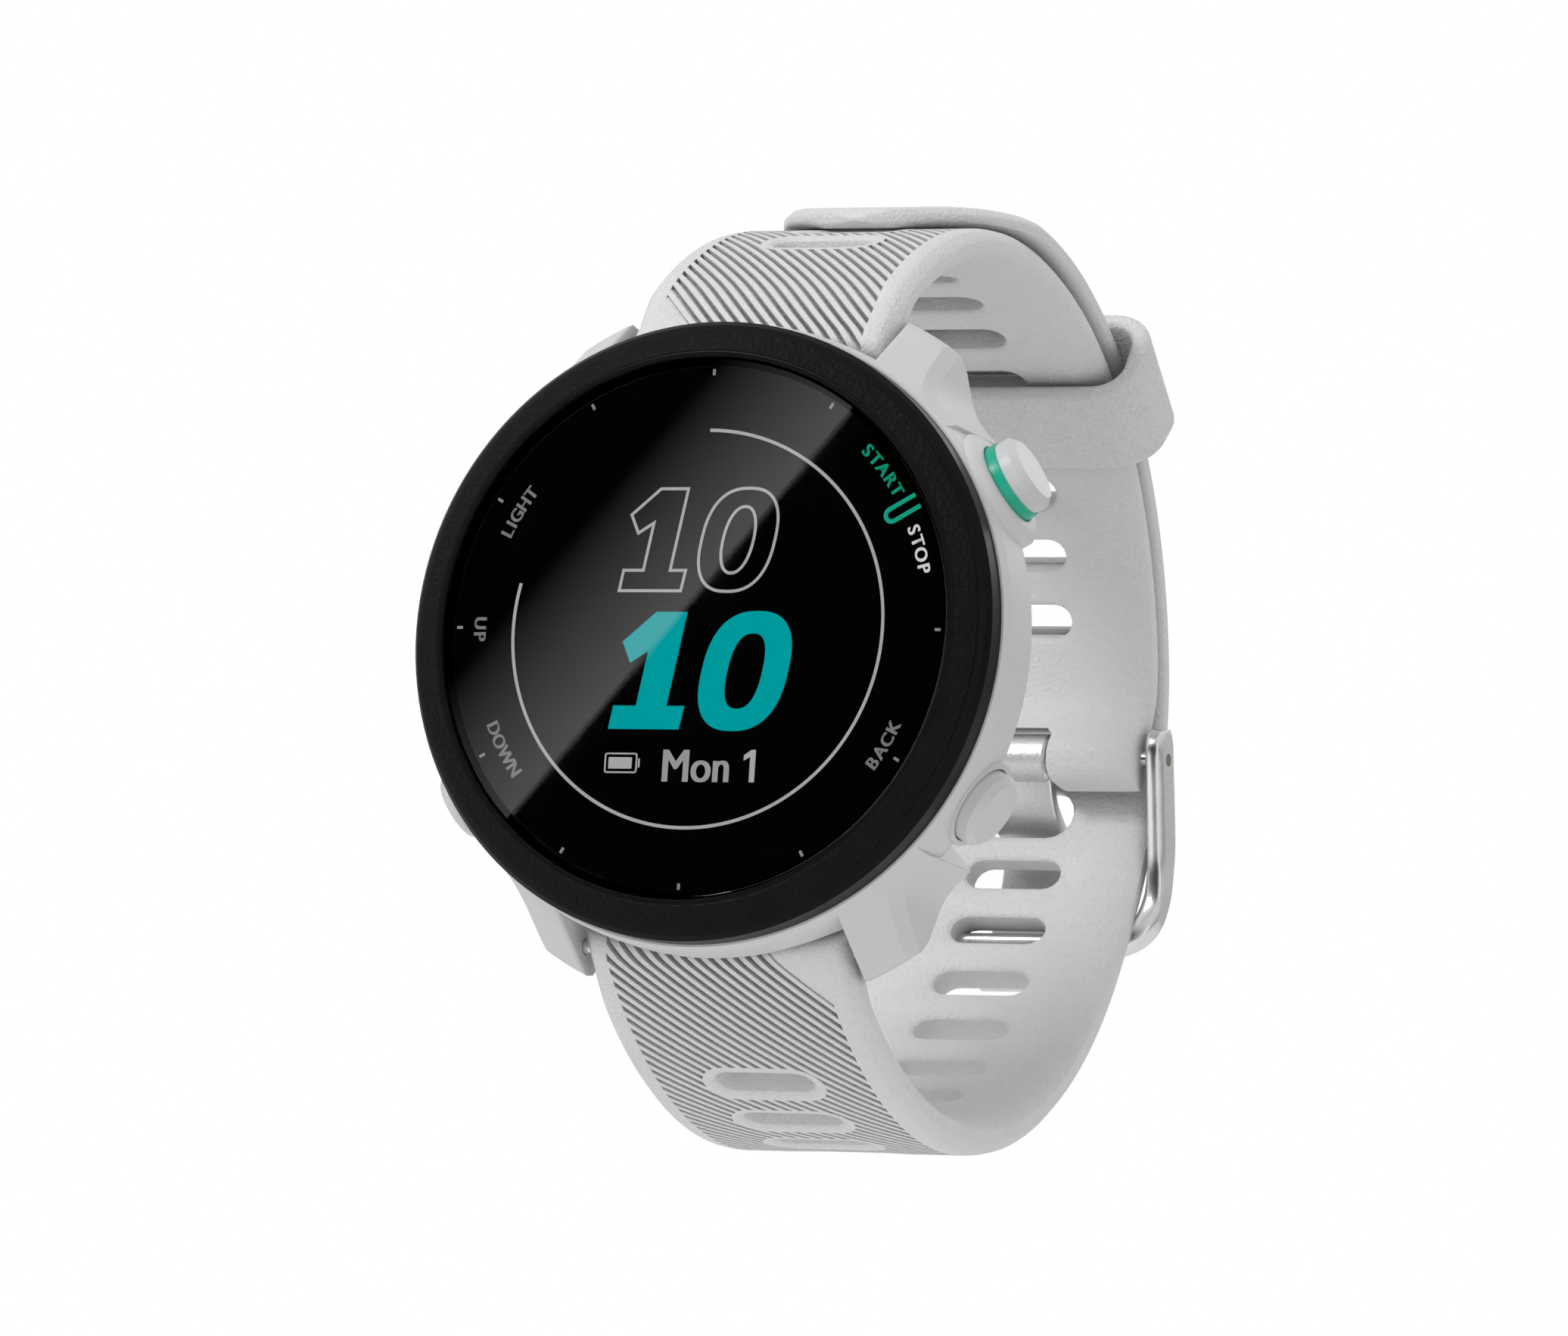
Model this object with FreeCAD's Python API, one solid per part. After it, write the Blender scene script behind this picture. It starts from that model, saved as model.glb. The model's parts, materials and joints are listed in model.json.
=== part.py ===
"""GPS running watch: round plastic housing, bezel and lens, five sprung push buttons, silicone
strap in two halves closed by a tang buckle and a free keeper, and the parts held inside.

Millimetres. X points to 3 o'clock, Z to 12 o'clock and the dial faces -Y, so the wrist is on +Y.
The origin is the centre of the flat sensor window on the back of the housing.
The closed strap is a ring of arcs about LOOP_Y, LOOP_Z; strap angles start at +Y and grow towards +Z.
Button angles start at 3 o'clock and grow towards 12 o'clock.
"""
import math
import os

import FreeCAD
import Part

V = FreeCAD.Vector

# ---- housing
HOUSING_R = 21.0
CAVITY_R = 17.2
RIM_R = 20.75
RIM_Y = -8.6
LENS_FRONT_Y = -11.45
LENS_BACK_Y = -10.6
LENS_R = 18.0
BEZEL_R = 20.6
BEZEL_TOP_Y = -11.6
FLANGE_R = 14.0
FLANGE_Y = -3.9
COVER_IN_Y = -2.4
COVER_OUT_Y = -1.0
COVER_R = 17.5
WINDOW_R = 8.4

# ---- lugs and spring bars
LUG_GAP = 20.0
LUG_TIP_R = 24.15
LUG_SIDE_X = 13.65
LUG_CHAMFER = 0.7
LUG_EDGE_R = 0.2
BAR_Y = -2.8
BAR_Z = 20.1
BAR_R = 0.9
BAR_BORE_R = 0.65
BAR_HALF = 9.2
TIP_R = 0.5
TIP_REACH = 10.9

# ---- strap ring
LOOP_Y = 18.4
LOOP_Z = 0.5
STRAP_IN_R = 29.0
STRAP_OUT_R = 31.4
TAIL_IN_R = 31.55
TAIL_OUT_R = 33.4
STRAP_HALF = 9.45
STRAP_END_R = 1.9
UPPER_LUG_ANGLE = 136.5
LOWER_LUG_ANGLE = -134.5
TAIL_TIP_ANGLE = 104.0
RAMP_START, RAMP_END = -30.0, 12.0
SLOT_LENGTH = 7.1
SLOT_WIDTH = 2.5
LOWER_SLOT_ANGLE = -16.6
LOWER_SLOT_STEP = -9.2
LOWER_SLOT_GROWTH = -0.057
LOWER_SLOTS = range(-8, 11)
UPPER_SLOT_ANGLE = 18.8
UPPER_SLOT_STEP = 9.35
UPPER_SLOT_GROWTH = 0.018
UPPER_SLOTS = range(11)
TONGUE_SLOT = -1
TONGUE_SLOT_WIDTH = 3.3

# ---- keeper and buckle
KEEPER_ANGLE = 50.6
KEEPER_HALF_ANGLE = 6.7
KEEPER_GAP = 0.2
KEEPER_WALL = 1.3
PIN_Y = 46.7
PIN_Z = 0.25
PIN_R = 0.6
PIN_END_R = 2.3
RUN_GAP = 0.05
ARM_IN_X = 9.75
ARM_OUT_X = 11.05
BUCKLE_BAR_ANGLE = -26.5
BUCKLE_BAR_R = 32.35
TONGUE_HALF = 2.5
TONGUE_BARREL_R = 1.7

# ---- buttons: name, angle, height of the cap's face from the dial's axis
BUTTON_Y = -4.3
BUTTON_CAP_R = 2.6
BUTTON_CAP_UNDER = 20.5
BUTTON_STEM_R = 0.8
BUTTON_CLIP_R = 1.4
BUTTONS = {
    "start": (30.0, 23.5),
    "back": (-30.0, 22.3),
    "light": (150.0, 22.3),
    "up": (180.0, 22.3),
    "down": (210.0, 22.3),
}
POCKET_FLOOR = 20.0
STEM_END = 15.65
CLIP_IN, CLIP_OUT = 16.7, 17.0


def cylinder_y(radius, y0, y1, x=0.0, z=0.0):
    return Part.makeCylinder(radius, y1 - y0, V(x, y0, z), V(0, 1, 0))


def cylinder_x(radius, x0, x1, y=0.0, z=0.0):
    return Part.makeCylinder(radius, x1 - x0, V(x0, y, z), V(1, 0, 0))


def ring_y(outer, inner, y0, y1):
    return cylinder_y(outer, y0, y1).cut(cylinder_y(inner, y0 - 1, y1 + 1))


def box(x0, x1, y0, y1, z0, z1):
    return Part.makeBox(x1 - x0, y1 - y0, z1 - z0, V(x0, y0, z0))


def turned(points):
    """A solid of revolution about the dial's axis, from (radius, y) points."""
    wire = Part.makePolygon([V(r, y, 0) for r, y in points + points[:1]])
    return Part.Face(wire).revolve(V(0, 0, 0), V(0, 1, 0), 360)


def prism_y(outline, y0, y1):
    """An (x, z) outline extruded along Y."""
    wire = Part.makePolygon([V(x, y0, z) for x, z in outline + outline[:1]])
    return Part.Face(wire).extrude(V(0, y1 - y0, 0))


def at_clock(shape, degrees):
    """Turns a shape built at 3 o'clock to its place round the dial."""
    turned_shape = shape.copy()
    turned_shape.rotate(V(0, 0, 0), V(0, 1, 0), -degrees)
    return turned_shape


def all_clocks(make):
    return [at_clock(make(face), angle) for angle, face in BUTTONS.values()]


def union(shapes):
    first, rest = shapes[0], shapes[1:]
    return first.multiFuse(rest).removeSplitter() if rest else first


def loop_point(degrees, radius, x=0.0):
    a = math.radians(degrees)
    return V(x, LOOP_Y + radius * math.cos(a), LOOP_Z + radius * math.sin(a))


def loop_arc(start, end, radius, x):
    middle = (start + end) / 2
    ends = (loop_point(start, radius, x), loop_point(middle, radius, x), loop_point(end, radius, x))
    return Part.Arc(*ends).toShape()


def spline(points):
    curve = Part.BSplineCurve()
    curve.interpolate(points)
    return curve.toShape()


def side_solid(edges, x0, x1):
    """A closed outline of edges in the plane x = x0, extruded to x = x1."""
    wire = Part.Wire(Part.__sortEdges__(edges))
    return Part.Face(wire).extrude(V(x1 - x0, 0, 0))


def side_polygon(points, x0, x1):
    """A (y, z) polygon extruded along X."""
    wire = Part.makePolygon([V(x0, y, z) for y, z in points + points[:1]])
    return Part.Face(wire).extrude(V(x1 - x0, 0, 0))


def loop_slot(degrees, inner, outer, length=SLOT_LENGTH, width=SLOT_WIDTH):
    """A radial cutter for one round-ended slot across the strap."""
    straight = (length - width) / 2
    cutter = box(-straight, straight, inner, outer, -width / 2, width / 2)
    ends = [cylinder_y(width / 2, inner, outer, x) for x in (-straight, straight)]
    cutter = union([cutter] + ends)
    cutter.rotate(V(0, 0, 0), V(1, 0, 0), degrees)
    cutter.translate(V(0, LOOP_Y, LOOP_Z))
    return cutter


# ---------------------------------------------------------------- housing
def lug():
    """The lug at 1 o'clock: a turned ring trimmed by the outline seen from the front."""
    ring = turned([
        (17.4, -8.3), (RIM_R, -8.3), (LUG_TIP_R - 0.25, -3.1), (LUG_TIP_R, -2.3), (LUG_TIP_R - 0.15, -1.3),
        (LUG_TIP_R - 0.9, -0.3), (22.2, 0.45), (20.6, 0.7), (19.2, 0.2), (17.4, -1.4),
    ])
    half_gap, front = LUG_GAP / 2, -9.0
    flank = [(LUG_SIDE_X - 1.25, 22.0), (LUG_SIDE_X - 0.5, 21.0), (LUG_SIDE_X - 0.1, 19.5), (LUG_SIDE_X, 17.8),
             (LUG_SIDE_X + 0.35, 16.4), (LUG_SIDE_X + 1.15, 15.2), (LUG_SIDE_X + 2.15, 14.2)]
    points = [V(x, front, z) for x, z in flank]
    corners = [points[-1], V(14.0, front, 12.0), V(half_gap, front, 13.0), V(half_gap, front, 24.0)]
    corners += [V(LUG_SIDE_X - 1.6, front, 24.0), points[0]]
    edges = [spline(points)] + [Part.makeLine(a, b) for a, b in zip(corners, corners[1:])]
    outline = Part.Face(Part.Wire(Part.__sortEdges__(edges)))
    shape = ring.common(outline.extrude(V(0, 11, 0)))
    return soften_lug(shape)


def soften_lug(shape):
    """Chamfers the flank's front edge and rounds the edges beside the strap."""
    def on_front(edge):
        middle = edge.valueAt((edge.FirstParameter + edge.LastParameter) / 2)
        return middle.y < -3.2 and edge.BoundBox.YLength > 3

    flank = [e for e in shape.Edges if on_front(e) and e.BoundBox.XMin > 12 and e.BoundBox.ZLength > 3]
    shape = shape.makeChamfer(LUG_CHAMFER, flank)
    gap_side = [e for e in shape.Edges if abs(e.BoundBox.XMax - LUG_GAP / 2) < 0.01 and on_front(e)]
    return shape.makeFillet(LUG_EDGE_R, gap_side)


def lugs():
    first = lug()
    pair = [first, first.mirror(V(0, 0, 0), V(1, 0, 0))]
    return pair + [shape.mirror(V(0, 0, 0), V(0, 0, 1)) for shape in pair]


def housing():
    body = turned([
        (CAVITY_R, RIM_Y), (RIM_R, RIM_Y), (20.95, -7.6), (HOUSING_R, -6.4), (HOUSING_R, -4.6), (20.75, -3.6),
        (20.1, -2.5), (19.2, -1.6), (18.3, -1.0), (COVER_R + 0.05, -1.0), (COVER_R + 0.05, COVER_IN_Y),
        (FLANGE_R, COVER_IN_Y), (FLANGE_R, FLANGE_Y), (CAVITY_R, FLANGE_Y),
    ])
    bosses = [at_clock(cylinder_x(3.1, 18.5, 21.05, BUTTON_Y), angle) for angle, _ in BUTTONS.values()]
    bosses.append(at_clock(cylinder_x(3.7, 18.5, 21.2, BUTTON_Y), BUTTONS["start"][0]))
    bosses = [boss.cut(cylinder_y(CAVITY_R, -12, 2)) for boss in bosses]
    body = union([body] + lugs() + bosses)
    body = body.cut(cylinder_y(COVER_R + 0.05, COVER_IN_Y, 2.0))
    half_gap = LUG_GAP / 2
    for side in (1, -1):
        body = body.cut(cylinder_x(2.15, -half_gap, half_gap, BAR_Y, side * BAR_Z))
        low, high = sorted((side * BAR_Z, side * 26.0))
        body = body.cut(box(-half_gap, half_gap, BAR_Y - 2.15, 3.0, low, high))
        low, high = sorted((side * 17.95, side * 26.0))
        body = body.cut(box(-half_gap, half_gap, BAR_Y, 3.0, low, high))
        body = body.cut(cylinder_x(TIP_R + 0.05, -11.3, 11.3, BAR_Y, side * BAR_Z))
    for name, (angle, _) in BUTTONS.items():
        pocket_r = 3.17 if name == "start" else BUTTON_CAP_R + 0.1
        body = body.cut(at_clock(cylinder_x(pocket_r, POCKET_FLOOR, 24.0, BUTTON_Y), angle))
        body = body.cut(at_clock(cylinder_x(1.35, 19.3, POCKET_FLOOR + 0.1, BUTTON_Y), angle))
        body = body.cut(at_clock(cylinder_x(BUTTON_STEM_R + RUN_GAP, 16.0, 21.0, BUTTON_Y), angle))
        body = body.cut(at_clock(box(13.0, 17.1, FLANGE_Y - 0.1, -2.7, -2.0, 2.0), angle))
    for x, z in SCREW_PLACES:
        body = body.cut(cylinder_y(SCREW_R, FLANGE_Y - 1, 0, x, z))
    return body


def bezel():
    return turned([
        (17.45, -10.5), (LENS_R + 0.05, -10.5), (LENS_R + 0.05, BEZEL_TOP_Y), (18.35, BEZEL_TOP_Y),
        (19.95, -10.85), (20.3, -10.6), (BEZEL_R, -10.2), (BEZEL_R, RIM_Y), (17.15, RIM_Y), (17.15, -7.8),
        (16.7, -7.8), (16.7, -9.4), (17.45, -9.9),
    ])


def lens():
    blank = cylinder_y(LENS_R, LENS_FRONT_Y, LENS_BACK_Y)
    front = [e for e in blank.Edges if abs(e.BoundBox.YMax - LENS_FRONT_Y) < 0.01 and e.Closed]
    return blank.makeChamfer(0.15, front)


def display_panel():
    return union([cylinder_y(14.2, -10.55, -9.8), box(-5.5, 5.5, -10.55, -10.15, -16.0, -13.0)])


def light_guide():
    return union([cylinder_y(14.2, -9.75, -9.2), box(-4.0, 4.0, -9.75, -9.45, 13.0, 16.0)])


def gps_antenna():
    """An open ring of spring steel round the display, with its feed gap at 9 o'clock."""
    return ring_y(16.4, 15.1, -9.1, -8.9).cut(box(-17, -14, -10, -8, -1.2, 1.2))


def inner_frame():
    plate = ring_y(16.5, 6.0, -8.85, -8.4)
    wall = ring_y(16.5, 16.05, -8.4, -4.5)
    windows = [at_clock(box(15.0, 18.0, BUTTON_Y - 2.0, BUTTON_Y + 2.0, -2.2, 2.2), a) for a, _ in BUTTONS.values()]
    return union([plate, wall]).cut(windows[0].multiFuse(windows[1:]))


def main_board():
    board = cylinder_y(15.9, -8.3, -7.5)
    return board.cut(box(-2.0, 2.0, -9, -7, 14.4, 17.0)).cut(box(-2.0, 2.0, -9, -7, -17.0, -14.4))


def board_shield():
    outer = box(-8.0, 6.0, -7.5, -6.2, -6.0, 6.0)
    return outer.cut(box(-7.8, 5.8, -7.6, -6.4, -5.8, 5.8))


def battery():
    cell = box(-10.0, 10.0, -6.1, -2.9, -8.6, 8.6)
    corners = [e for e in cell.Edges if e.BoundBox.YLength > 3]
    return cell.makeFillet(1.8, corners)


def vibration_motor():
    return union([cylinder_y(3.5, -7.5, -5.4, 0, -12.2), cylinder_y(0.9, -5.4, -5.0, 0, -12.2)])


def piezo_buzzer():
    return union([cylinder_y(3.5, -7.5, -7.2, 0, 12.2), cylinder_y(2.6, -7.2, -6.9, 0, 12.2)])


# ---------------------------------------------------------------- back
SCREW_RING = 15.95
SCREW_R = 0.6
SCREW_HEAD_R = 1.1
SCREW_PLACES = [
    (SCREW_RING * math.cos(math.radians(a)), SCREW_RING * math.sin(math.radians(a))) for a in (60, 120, 240, 300)
]
CONTACT_Z = -11.7
CONTACT_R = 0.4
CONTACT_X = (-2.1, -0.7, 0.7, 2.1)


def back_cover():
    cover = turned([
        (WINDOW_R + 0.05, -1.2), (WINDOW_R + 0.05, -0.2), (9.6, -0.2), (13.0, COVER_OUT_Y), (COVER_R, COVER_OUT_Y),
        (COVER_R, COVER_IN_Y), (9.8, COVER_IN_Y), (9.8, -1.2),
    ])
    cover = cover.cut(ring_y(14.75, 14.35, COVER_IN_Y - 0.1, -1.9))
    cover = cover.cut(box(-3.6, 3.6, -1.5, 0, CONTACT_Z - 1.2, CONTACT_Z + 1.2))
    for x, z in SCREW_PLACES:
        cover = cover.cut(cylinder_y(SCREW_R + 0.1, -3, 0, x, z))
        cover = cover.cut(cylinder_y(SCREW_HEAD_R + 0.1, -1.65, 0, x, z))
    for x in CONTACT_X:
        cover = cover.cut(cylinder_y(CONTACT_R, -3, 0, x, CONTACT_Z))
    return cover


def back_screws():
    screws = []
    for x, z in SCREW_PLACES:
        head = cylinder_y(SCREW_HEAD_R, -1.65, -1.1, x, z)
        shank = cylinder_y(SCREW_R, FLANGE_Y + 0.2, -1.65, x, z)
        cross = [box(x - 0.7, x + 0.7, -1.4, -1.0, z - 0.14, z + 0.14)]
        cross.append(box(x - 0.14, x + 0.14, -1.4, -1.0, z - 0.7, z + 0.7))
        screws.append(union([head, shank]).cut(union(cross)))
    return Part.makeCompound(screws)


def sensor_window():
    blank = cylinder_y(WINDOW_R, -1.15, 0)
    rear = [e for e in blank.Edges if abs(e.BoundBox.YMin) < 0.01 and e.Closed]
    return blank.makeChamfer(0.3, rear)


def sensor_leds():
    places = [(0, 0), (3.4, 0), (-3.4, 0), (0, 3.4), (0, -3.4)]
    return Part.makeCompound([box(x - 0.8, x + 0.8, -1.7, -1.2, z - 0.8, z + 0.8) for x, z in places])


def charging_contacts():
    return Part.makeCompound([cylinder_y(CONTACT_R, -2.6, -1.35, x, CONTACT_Z) for x in CONTACT_X])


# ---------------------------------------------------------------- buttons
def button(face):
    """Cap and stem in one piece, built at 3 o'clock with its cap's face at the given radius."""
    cap = cylinder_x(BUTTON_CAP_R, BUTTON_CAP_UNDER, face, BUTTON_Y)
    rim = [e for e in cap.Edges if e.Closed and abs(e.BoundBox.XMin - face) < 0.01]
    cap = cap.makeChamfer(0.45, rim)
    stem = cylinder_x(BUTTON_STEM_R, STEM_END, BUTTON_CAP_UNDER + 0.1, BUTTON_Y)
    groove = cylinder_x(BUTTON_STEM_R + 0.1, CLIP_IN, CLIP_OUT, BUTTON_Y).cut(
        cylinder_x(0.5, CLIP_IN, CLIP_OUT, BUTTON_Y))
    return union([cap, stem]).cut(groove)


def button_clip():
    disc = cylinder_x(BUTTON_CLIP_R, CLIP_IN, CLIP_OUT, BUTTON_Y).cut(cylinder_x(0.5, CLIP_IN, CLIP_OUT, BUTTON_Y))
    return disc.cut(box(CLIP_IN - 0.1, CLIP_OUT + 0.1, BUTTON_Y, BUTTON_Y + 2, -0.4, 0.4))


def button_seal(_face):
    ring = cylinder_x(1.33, 19.35, 19.95, BUTTON_Y)
    return ring.cut(cylinder_x(BUTTON_STEM_R + 0.02, 19.0, 21.0, BUTTON_Y))


def button_switch(_face):
    base = box(13.6, 14.9, -7.5, BUTTON_Y + 1.0, -1.6, 1.6)
    return union([base, cylinder_x(0.6, 14.8, 15.2, BUTTON_Y)])


def start_ring():
    ring = cylinder_x(3.15, POCKET_FLOOR, 20.95, BUTTON_Y).cut(cylinder_x(2.68, 19.0, 22.0, BUTTON_Y))
    return at_clock(ring, BUTTONS["start"][0])


# ---------------------------------------------------------------- strap
def bar_z(side):
    return side * BAR_Z


def strap_end(side, lug_angle):
    """The thick end that wraps a spring bar."""
    barrel = cylinder_x(STRAP_END_R, -STRAP_HALF, STRAP_HALF, BAR_Y, bar_z(side))
    a, b = loop_point(lug_angle, STRAP_OUT_R), loop_point(lug_angle - side * 9, STRAP_OUT_R)
    c, d = loop_point(lug_angle - side * 9, STRAP_IN_R), V(0, BAR_Y + STRAP_END_R * 0.8, side * (BAR_Z - 1.1))
    web = side_polygon([(p.y, p.z) for p in (a, b, c, d)], -STRAP_HALF, STRAP_HALF)
    return [barrel, web]


def cut_bar(strap, side):
    """The bore for the spring bar and the pocket that its release lever moves in."""
    strap = strap.cut(cylinder_x(BAR_R + 0.1, -STRAP_HALF - 1, STRAP_HALF + 1, BAR_Y, bar_z(side)))
    low, high = sorted((side * (BAR_Z - 3.2), side * (BAR_Z + 0.75)))
    return strap.cut(box(4.4, 7.7, BAR_Y, BAR_Y + 4.0, low, high))


def band(start, end, inner, outer):
    x0, x1 = -STRAP_HALF, STRAP_HALF
    ends = [Part.makeLine(loop_point(a, inner, x0), loop_point(a, outer, x0)) for a in (start, end)]
    return side_solid([loop_arc(start, end, inner, x0), loop_arc(start, end, outer, x0)] + ends, x0, x1)


def strap_upper():
    """The buckle half: from the spring bar at 12 o'clock over the crest to the buckle pin."""
    parts = [band(14.0, UPPER_LUG_ANGLE, STRAP_IN_R, STRAP_OUT_R)] + strap_end(1, UPPER_LUG_ANGLE)
    pin_end = cylinder_x(PIN_END_R, -STRAP_HALF, STRAP_HALF, PIN_Y, PIN_Z)
    corners = [loop_point(14, STRAP_OUT_R), loop_point(9, 31.15), loop_point(4, 30.2), loop_point(-0.5, 30.0)]
    corners += [loop_point(-0.5, 26.7), loop_point(5, 27.6), loop_point(9, 28.6), loop_point(14, STRAP_IN_R)]
    taper = side_polygon([(p.y, p.z) for p in corners], -STRAP_HALF, STRAP_HALF)
    strap = union(parts + [pin_end, taper])
    strap = cut_bar(strap, 1)
    strap = strap.cut(cylinder_x(PIN_R + 0.02, -12, 12, PIN_Y, PIN_Z))
    strap = strap.cut(box(-TONGUE_HALF - 0.3, TONGUE_HALF + 0.3, PIN_Y - 2.6, PIN_Y + 4, PIN_Z - 3, PIN_Z + 2.2))
    for k in UPPER_SLOTS:
        angle = UPPER_SLOT_ANGLE + UPPER_SLOT_STEP * k + UPPER_SLOT_GROWTH * k * k
        strap = strap.cut(loop_slot(angle, 25, 35))
    return strap


def tail_radius(degrees, low, high):
    """The long half climbs smoothly from the inner layer to the outer layer behind the buckle."""
    t = (degrees - RAMP_START) / (RAMP_END - RAMP_START)
    return low + (high - low) * t * t * (3 - 2 * t)


def strap_lower():
    """The long half: from the spring bar at 6 o'clock, through the buckle, over the buckle half."""
    x0, x1 = -STRAP_HALF, STRAP_HALF
    angles = [RAMP_START + (RAMP_END - RAMP_START) * k / 8 for k in range(9)]
    inner = spline([loop_point(a, tail_radius(a, STRAP_IN_R, TAIL_IN_R), x0) for a in angles])
    outer = spline([loop_point(a, tail_radius(a, STRAP_OUT_R, TAIL_OUT_R), x0) for a in angles])
    ends = [Part.makeLine(loop_point(a, r0, x0), loop_point(a, r1, x0)) for a, r0, r1 in
            ((RAMP_START, STRAP_IN_R, STRAP_OUT_R), (RAMP_END, TAIL_IN_R, TAIL_OUT_R))]
    ramp = side_solid([inner, outer] + ends, x0, x1)
    body = band(LOWER_LUG_ANGLE, RAMP_START, STRAP_IN_R, STRAP_OUT_R)
    tail = band(RAMP_END, TAIL_TIP_ANGLE, TAIL_IN_R, TAIL_OUT_R)
    strap = union([body, ramp, tail] + strap_end(-1, LOWER_LUG_ANGLE))
    strap = cut_bar(strap, -1)
    for k in LOWER_SLOTS:
        angle = LOWER_SLOT_ANGLE + LOWER_SLOT_STEP * k + LOWER_SLOT_GROWTH * k * k
        width = TONGUE_SLOT_WIDTH if k == TONGUE_SLOT else SLOT_WIDTH
        strap = strap.cut(loop_slot(angle, 25, 37, width=width))
    return strap


def keeper():
    """A closed loop round both layers, made by turning its flat section about the ring's axis."""
    inner_x, outer_x = STRAP_HALF + KEEPER_GAP, STRAP_HALF + KEEPER_GAP + KEEPER_WALL
    low, high = STRAP_IN_R - KEEPER_GAP, TAIL_OUT_R + KEEPER_GAP

    def sector(half, r0, r1):
        points = [V(-half, r0, 0), V(half, r0, 0), V(half, r1, 0), V(-half, r1, 0), V(-half, r0, 0)]
        solid = Part.Face(Part.makePolygon(points)).revolve(V(0, 0, 0), V(1, 0, 0), 2 * KEEPER_HALF_ANGLE)
        solid.rotate(V(0, 0, 0), V(1, 0, 0), KEEPER_ANGLE - KEEPER_HALF_ANGLE)
        solid.translate(V(0, LOOP_Y, LOOP_Z))
        return solid
    return sector(outer_x, low - KEEPER_WALL, high + KEEPER_WALL).cut(sector(inner_x, low, high))


# ---------------------------------------------------------------- buckle
def arm(x0, x1):
    """One cheek of the buckle frame: an eye on the pin, a curved limb and the corner of the end bar."""
    eye = cylinder_x(1.9, x0, x1, PIN_Y, PIN_Z)
    end = loop_point(BUCKLE_BAR_ANGLE, BUCKLE_BAR_R)
    corner = cylinder_x(1.1, x0, x1, end.y, end.z)
    outer = [(PIN_Y + 0.6, PIN_Z + 1.8), (PIN_Y + 1.9, PIN_Z), (49.7, -4.5), (49.5, -9.0), (48.4, -13.2)]
    inner = [(end.y - 0.9, end.z + 0.5), (46.9, -9.0), (46.4, -4.5), (PIN_Y - 1.75, PIN_Z - 0.6)]
    return union([eye, corner, side_polygon(outer + inner, x0, x1)])


def buckle_frame():
    end = loop_point(BUCKLE_BAR_ANGLE, BUCKLE_BAR_R)
    bar = cylinder_x(0.85, -ARM_OUT_X + 0.5, ARM_OUT_X - 0.5, end.y, end.z)
    frame = union([arm(ARM_IN_X, ARM_OUT_X), arm(-ARM_OUT_X, -ARM_IN_X), bar])
    return frame.cut(cylinder_x(PIN_R + RUN_GAP, -12, 12, PIN_Y, PIN_Z))


def buckle_tongue():
    """A bent plate that turns on the pin, passes through a slot and rests on the end bar."""
    barrel = cylinder_x(TONGUE_BARREL_R, -TONGUE_HALF, TONGUE_HALF, PIN_Y, PIN_Z)
    route = [(-3.6, 28.8), (-6.4, 30.7), (-8.6, 33.0), (-13.0, 34.2), (-20.0, 34.1), (-29.0, 33.85)]
    half = 0.5
    plates = []
    for (a0, r0), (a1, r1) in zip(route, route[1:]):
        p, q = loop_point(a0, r0, -TONGUE_HALF), loop_point(a1, r1, -TONGUE_HALF)
        along = (q - p).normalize()
        across = V(0, -along.z, along.y) * half
        corners = [p - across, q - across, q + across, p + across]
        plates.append(side_polygon([(c.y, c.z) for c in corners], -TONGUE_HALF, TONGUE_HALF))
        plates.append(cylinder_x(half, -TONGUE_HALF, TONGUE_HALF, q.y, q.z))
    plates.append(cylinder_x(half, -TONGUE_HALF, TONGUE_HALF, *[loop_point(*route[0])[i] for i in (1, 2)]))
    return union([barrel] + plates).cut(cylinder_x(PIN_R + RUN_GAP, -5, 5, PIN_Y, PIN_Z))


# ---------------------------------------------------------------- quick-release spring bars
PLUNGER_R = 0.6
LEVER_X = 6.4


def bar_tube(side):
    tube = cylinder_x(BAR_R, -BAR_HALF, BAR_HALF, BAR_Y, bar_z(side))
    tube = tube.cut(cylinder_x(BAR_BORE_R, -BAR_HALF - 1, BAR_HALF + 1, BAR_Y, bar_z(side)))
    return tube.cut(box(LEVER_X - 1.9, LEVER_X + 0.6, BAR_Y, BAR_Y + 2, bar_z(side) - 0.45, bar_z(side) + 0.45))


def bar_fixed_tip(side):
    plug = cylinder_x(BAR_BORE_R, -BAR_HALF, -BAR_HALF + 1.0, BAR_Y, bar_z(side))
    return union([plug, cylinder_x(TIP_R, -TIP_REACH, -BAR_HALF, BAR_Y, bar_z(side))])


def bar_release(side):
    """The moving tip with the small lever that a fingernail pulls."""
    tip = cylinder_x(TIP_R, BAR_HALF - 1.5, TIP_REACH, BAR_Y, bar_z(side))
    plunger = cylinder_x(PLUNGER_R, LEVER_X - 0.6, BAR_HALF - 1.5, BAR_Y, bar_z(side))
    lever = cylinder_y(0.4, BAR_Y, BAR_Y + 2.9, LEVER_X, bar_z(side))
    knob = cylinder_y(0.6, BAR_Y + 2.1, BAR_Y + 2.9, LEVER_X, bar_z(side))
    return union([tip, plunger, lever, knob])


def bar_spring(side):
    spring = cylinder_x(0.55, -BAR_HALF + 1.0, LEVER_X - 0.6, BAR_Y, bar_z(side))
    return spring.cut(cylinder_x(0.33, -BAR_HALF, LEVER_X, BAR_Y, bar_z(side)))


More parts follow.
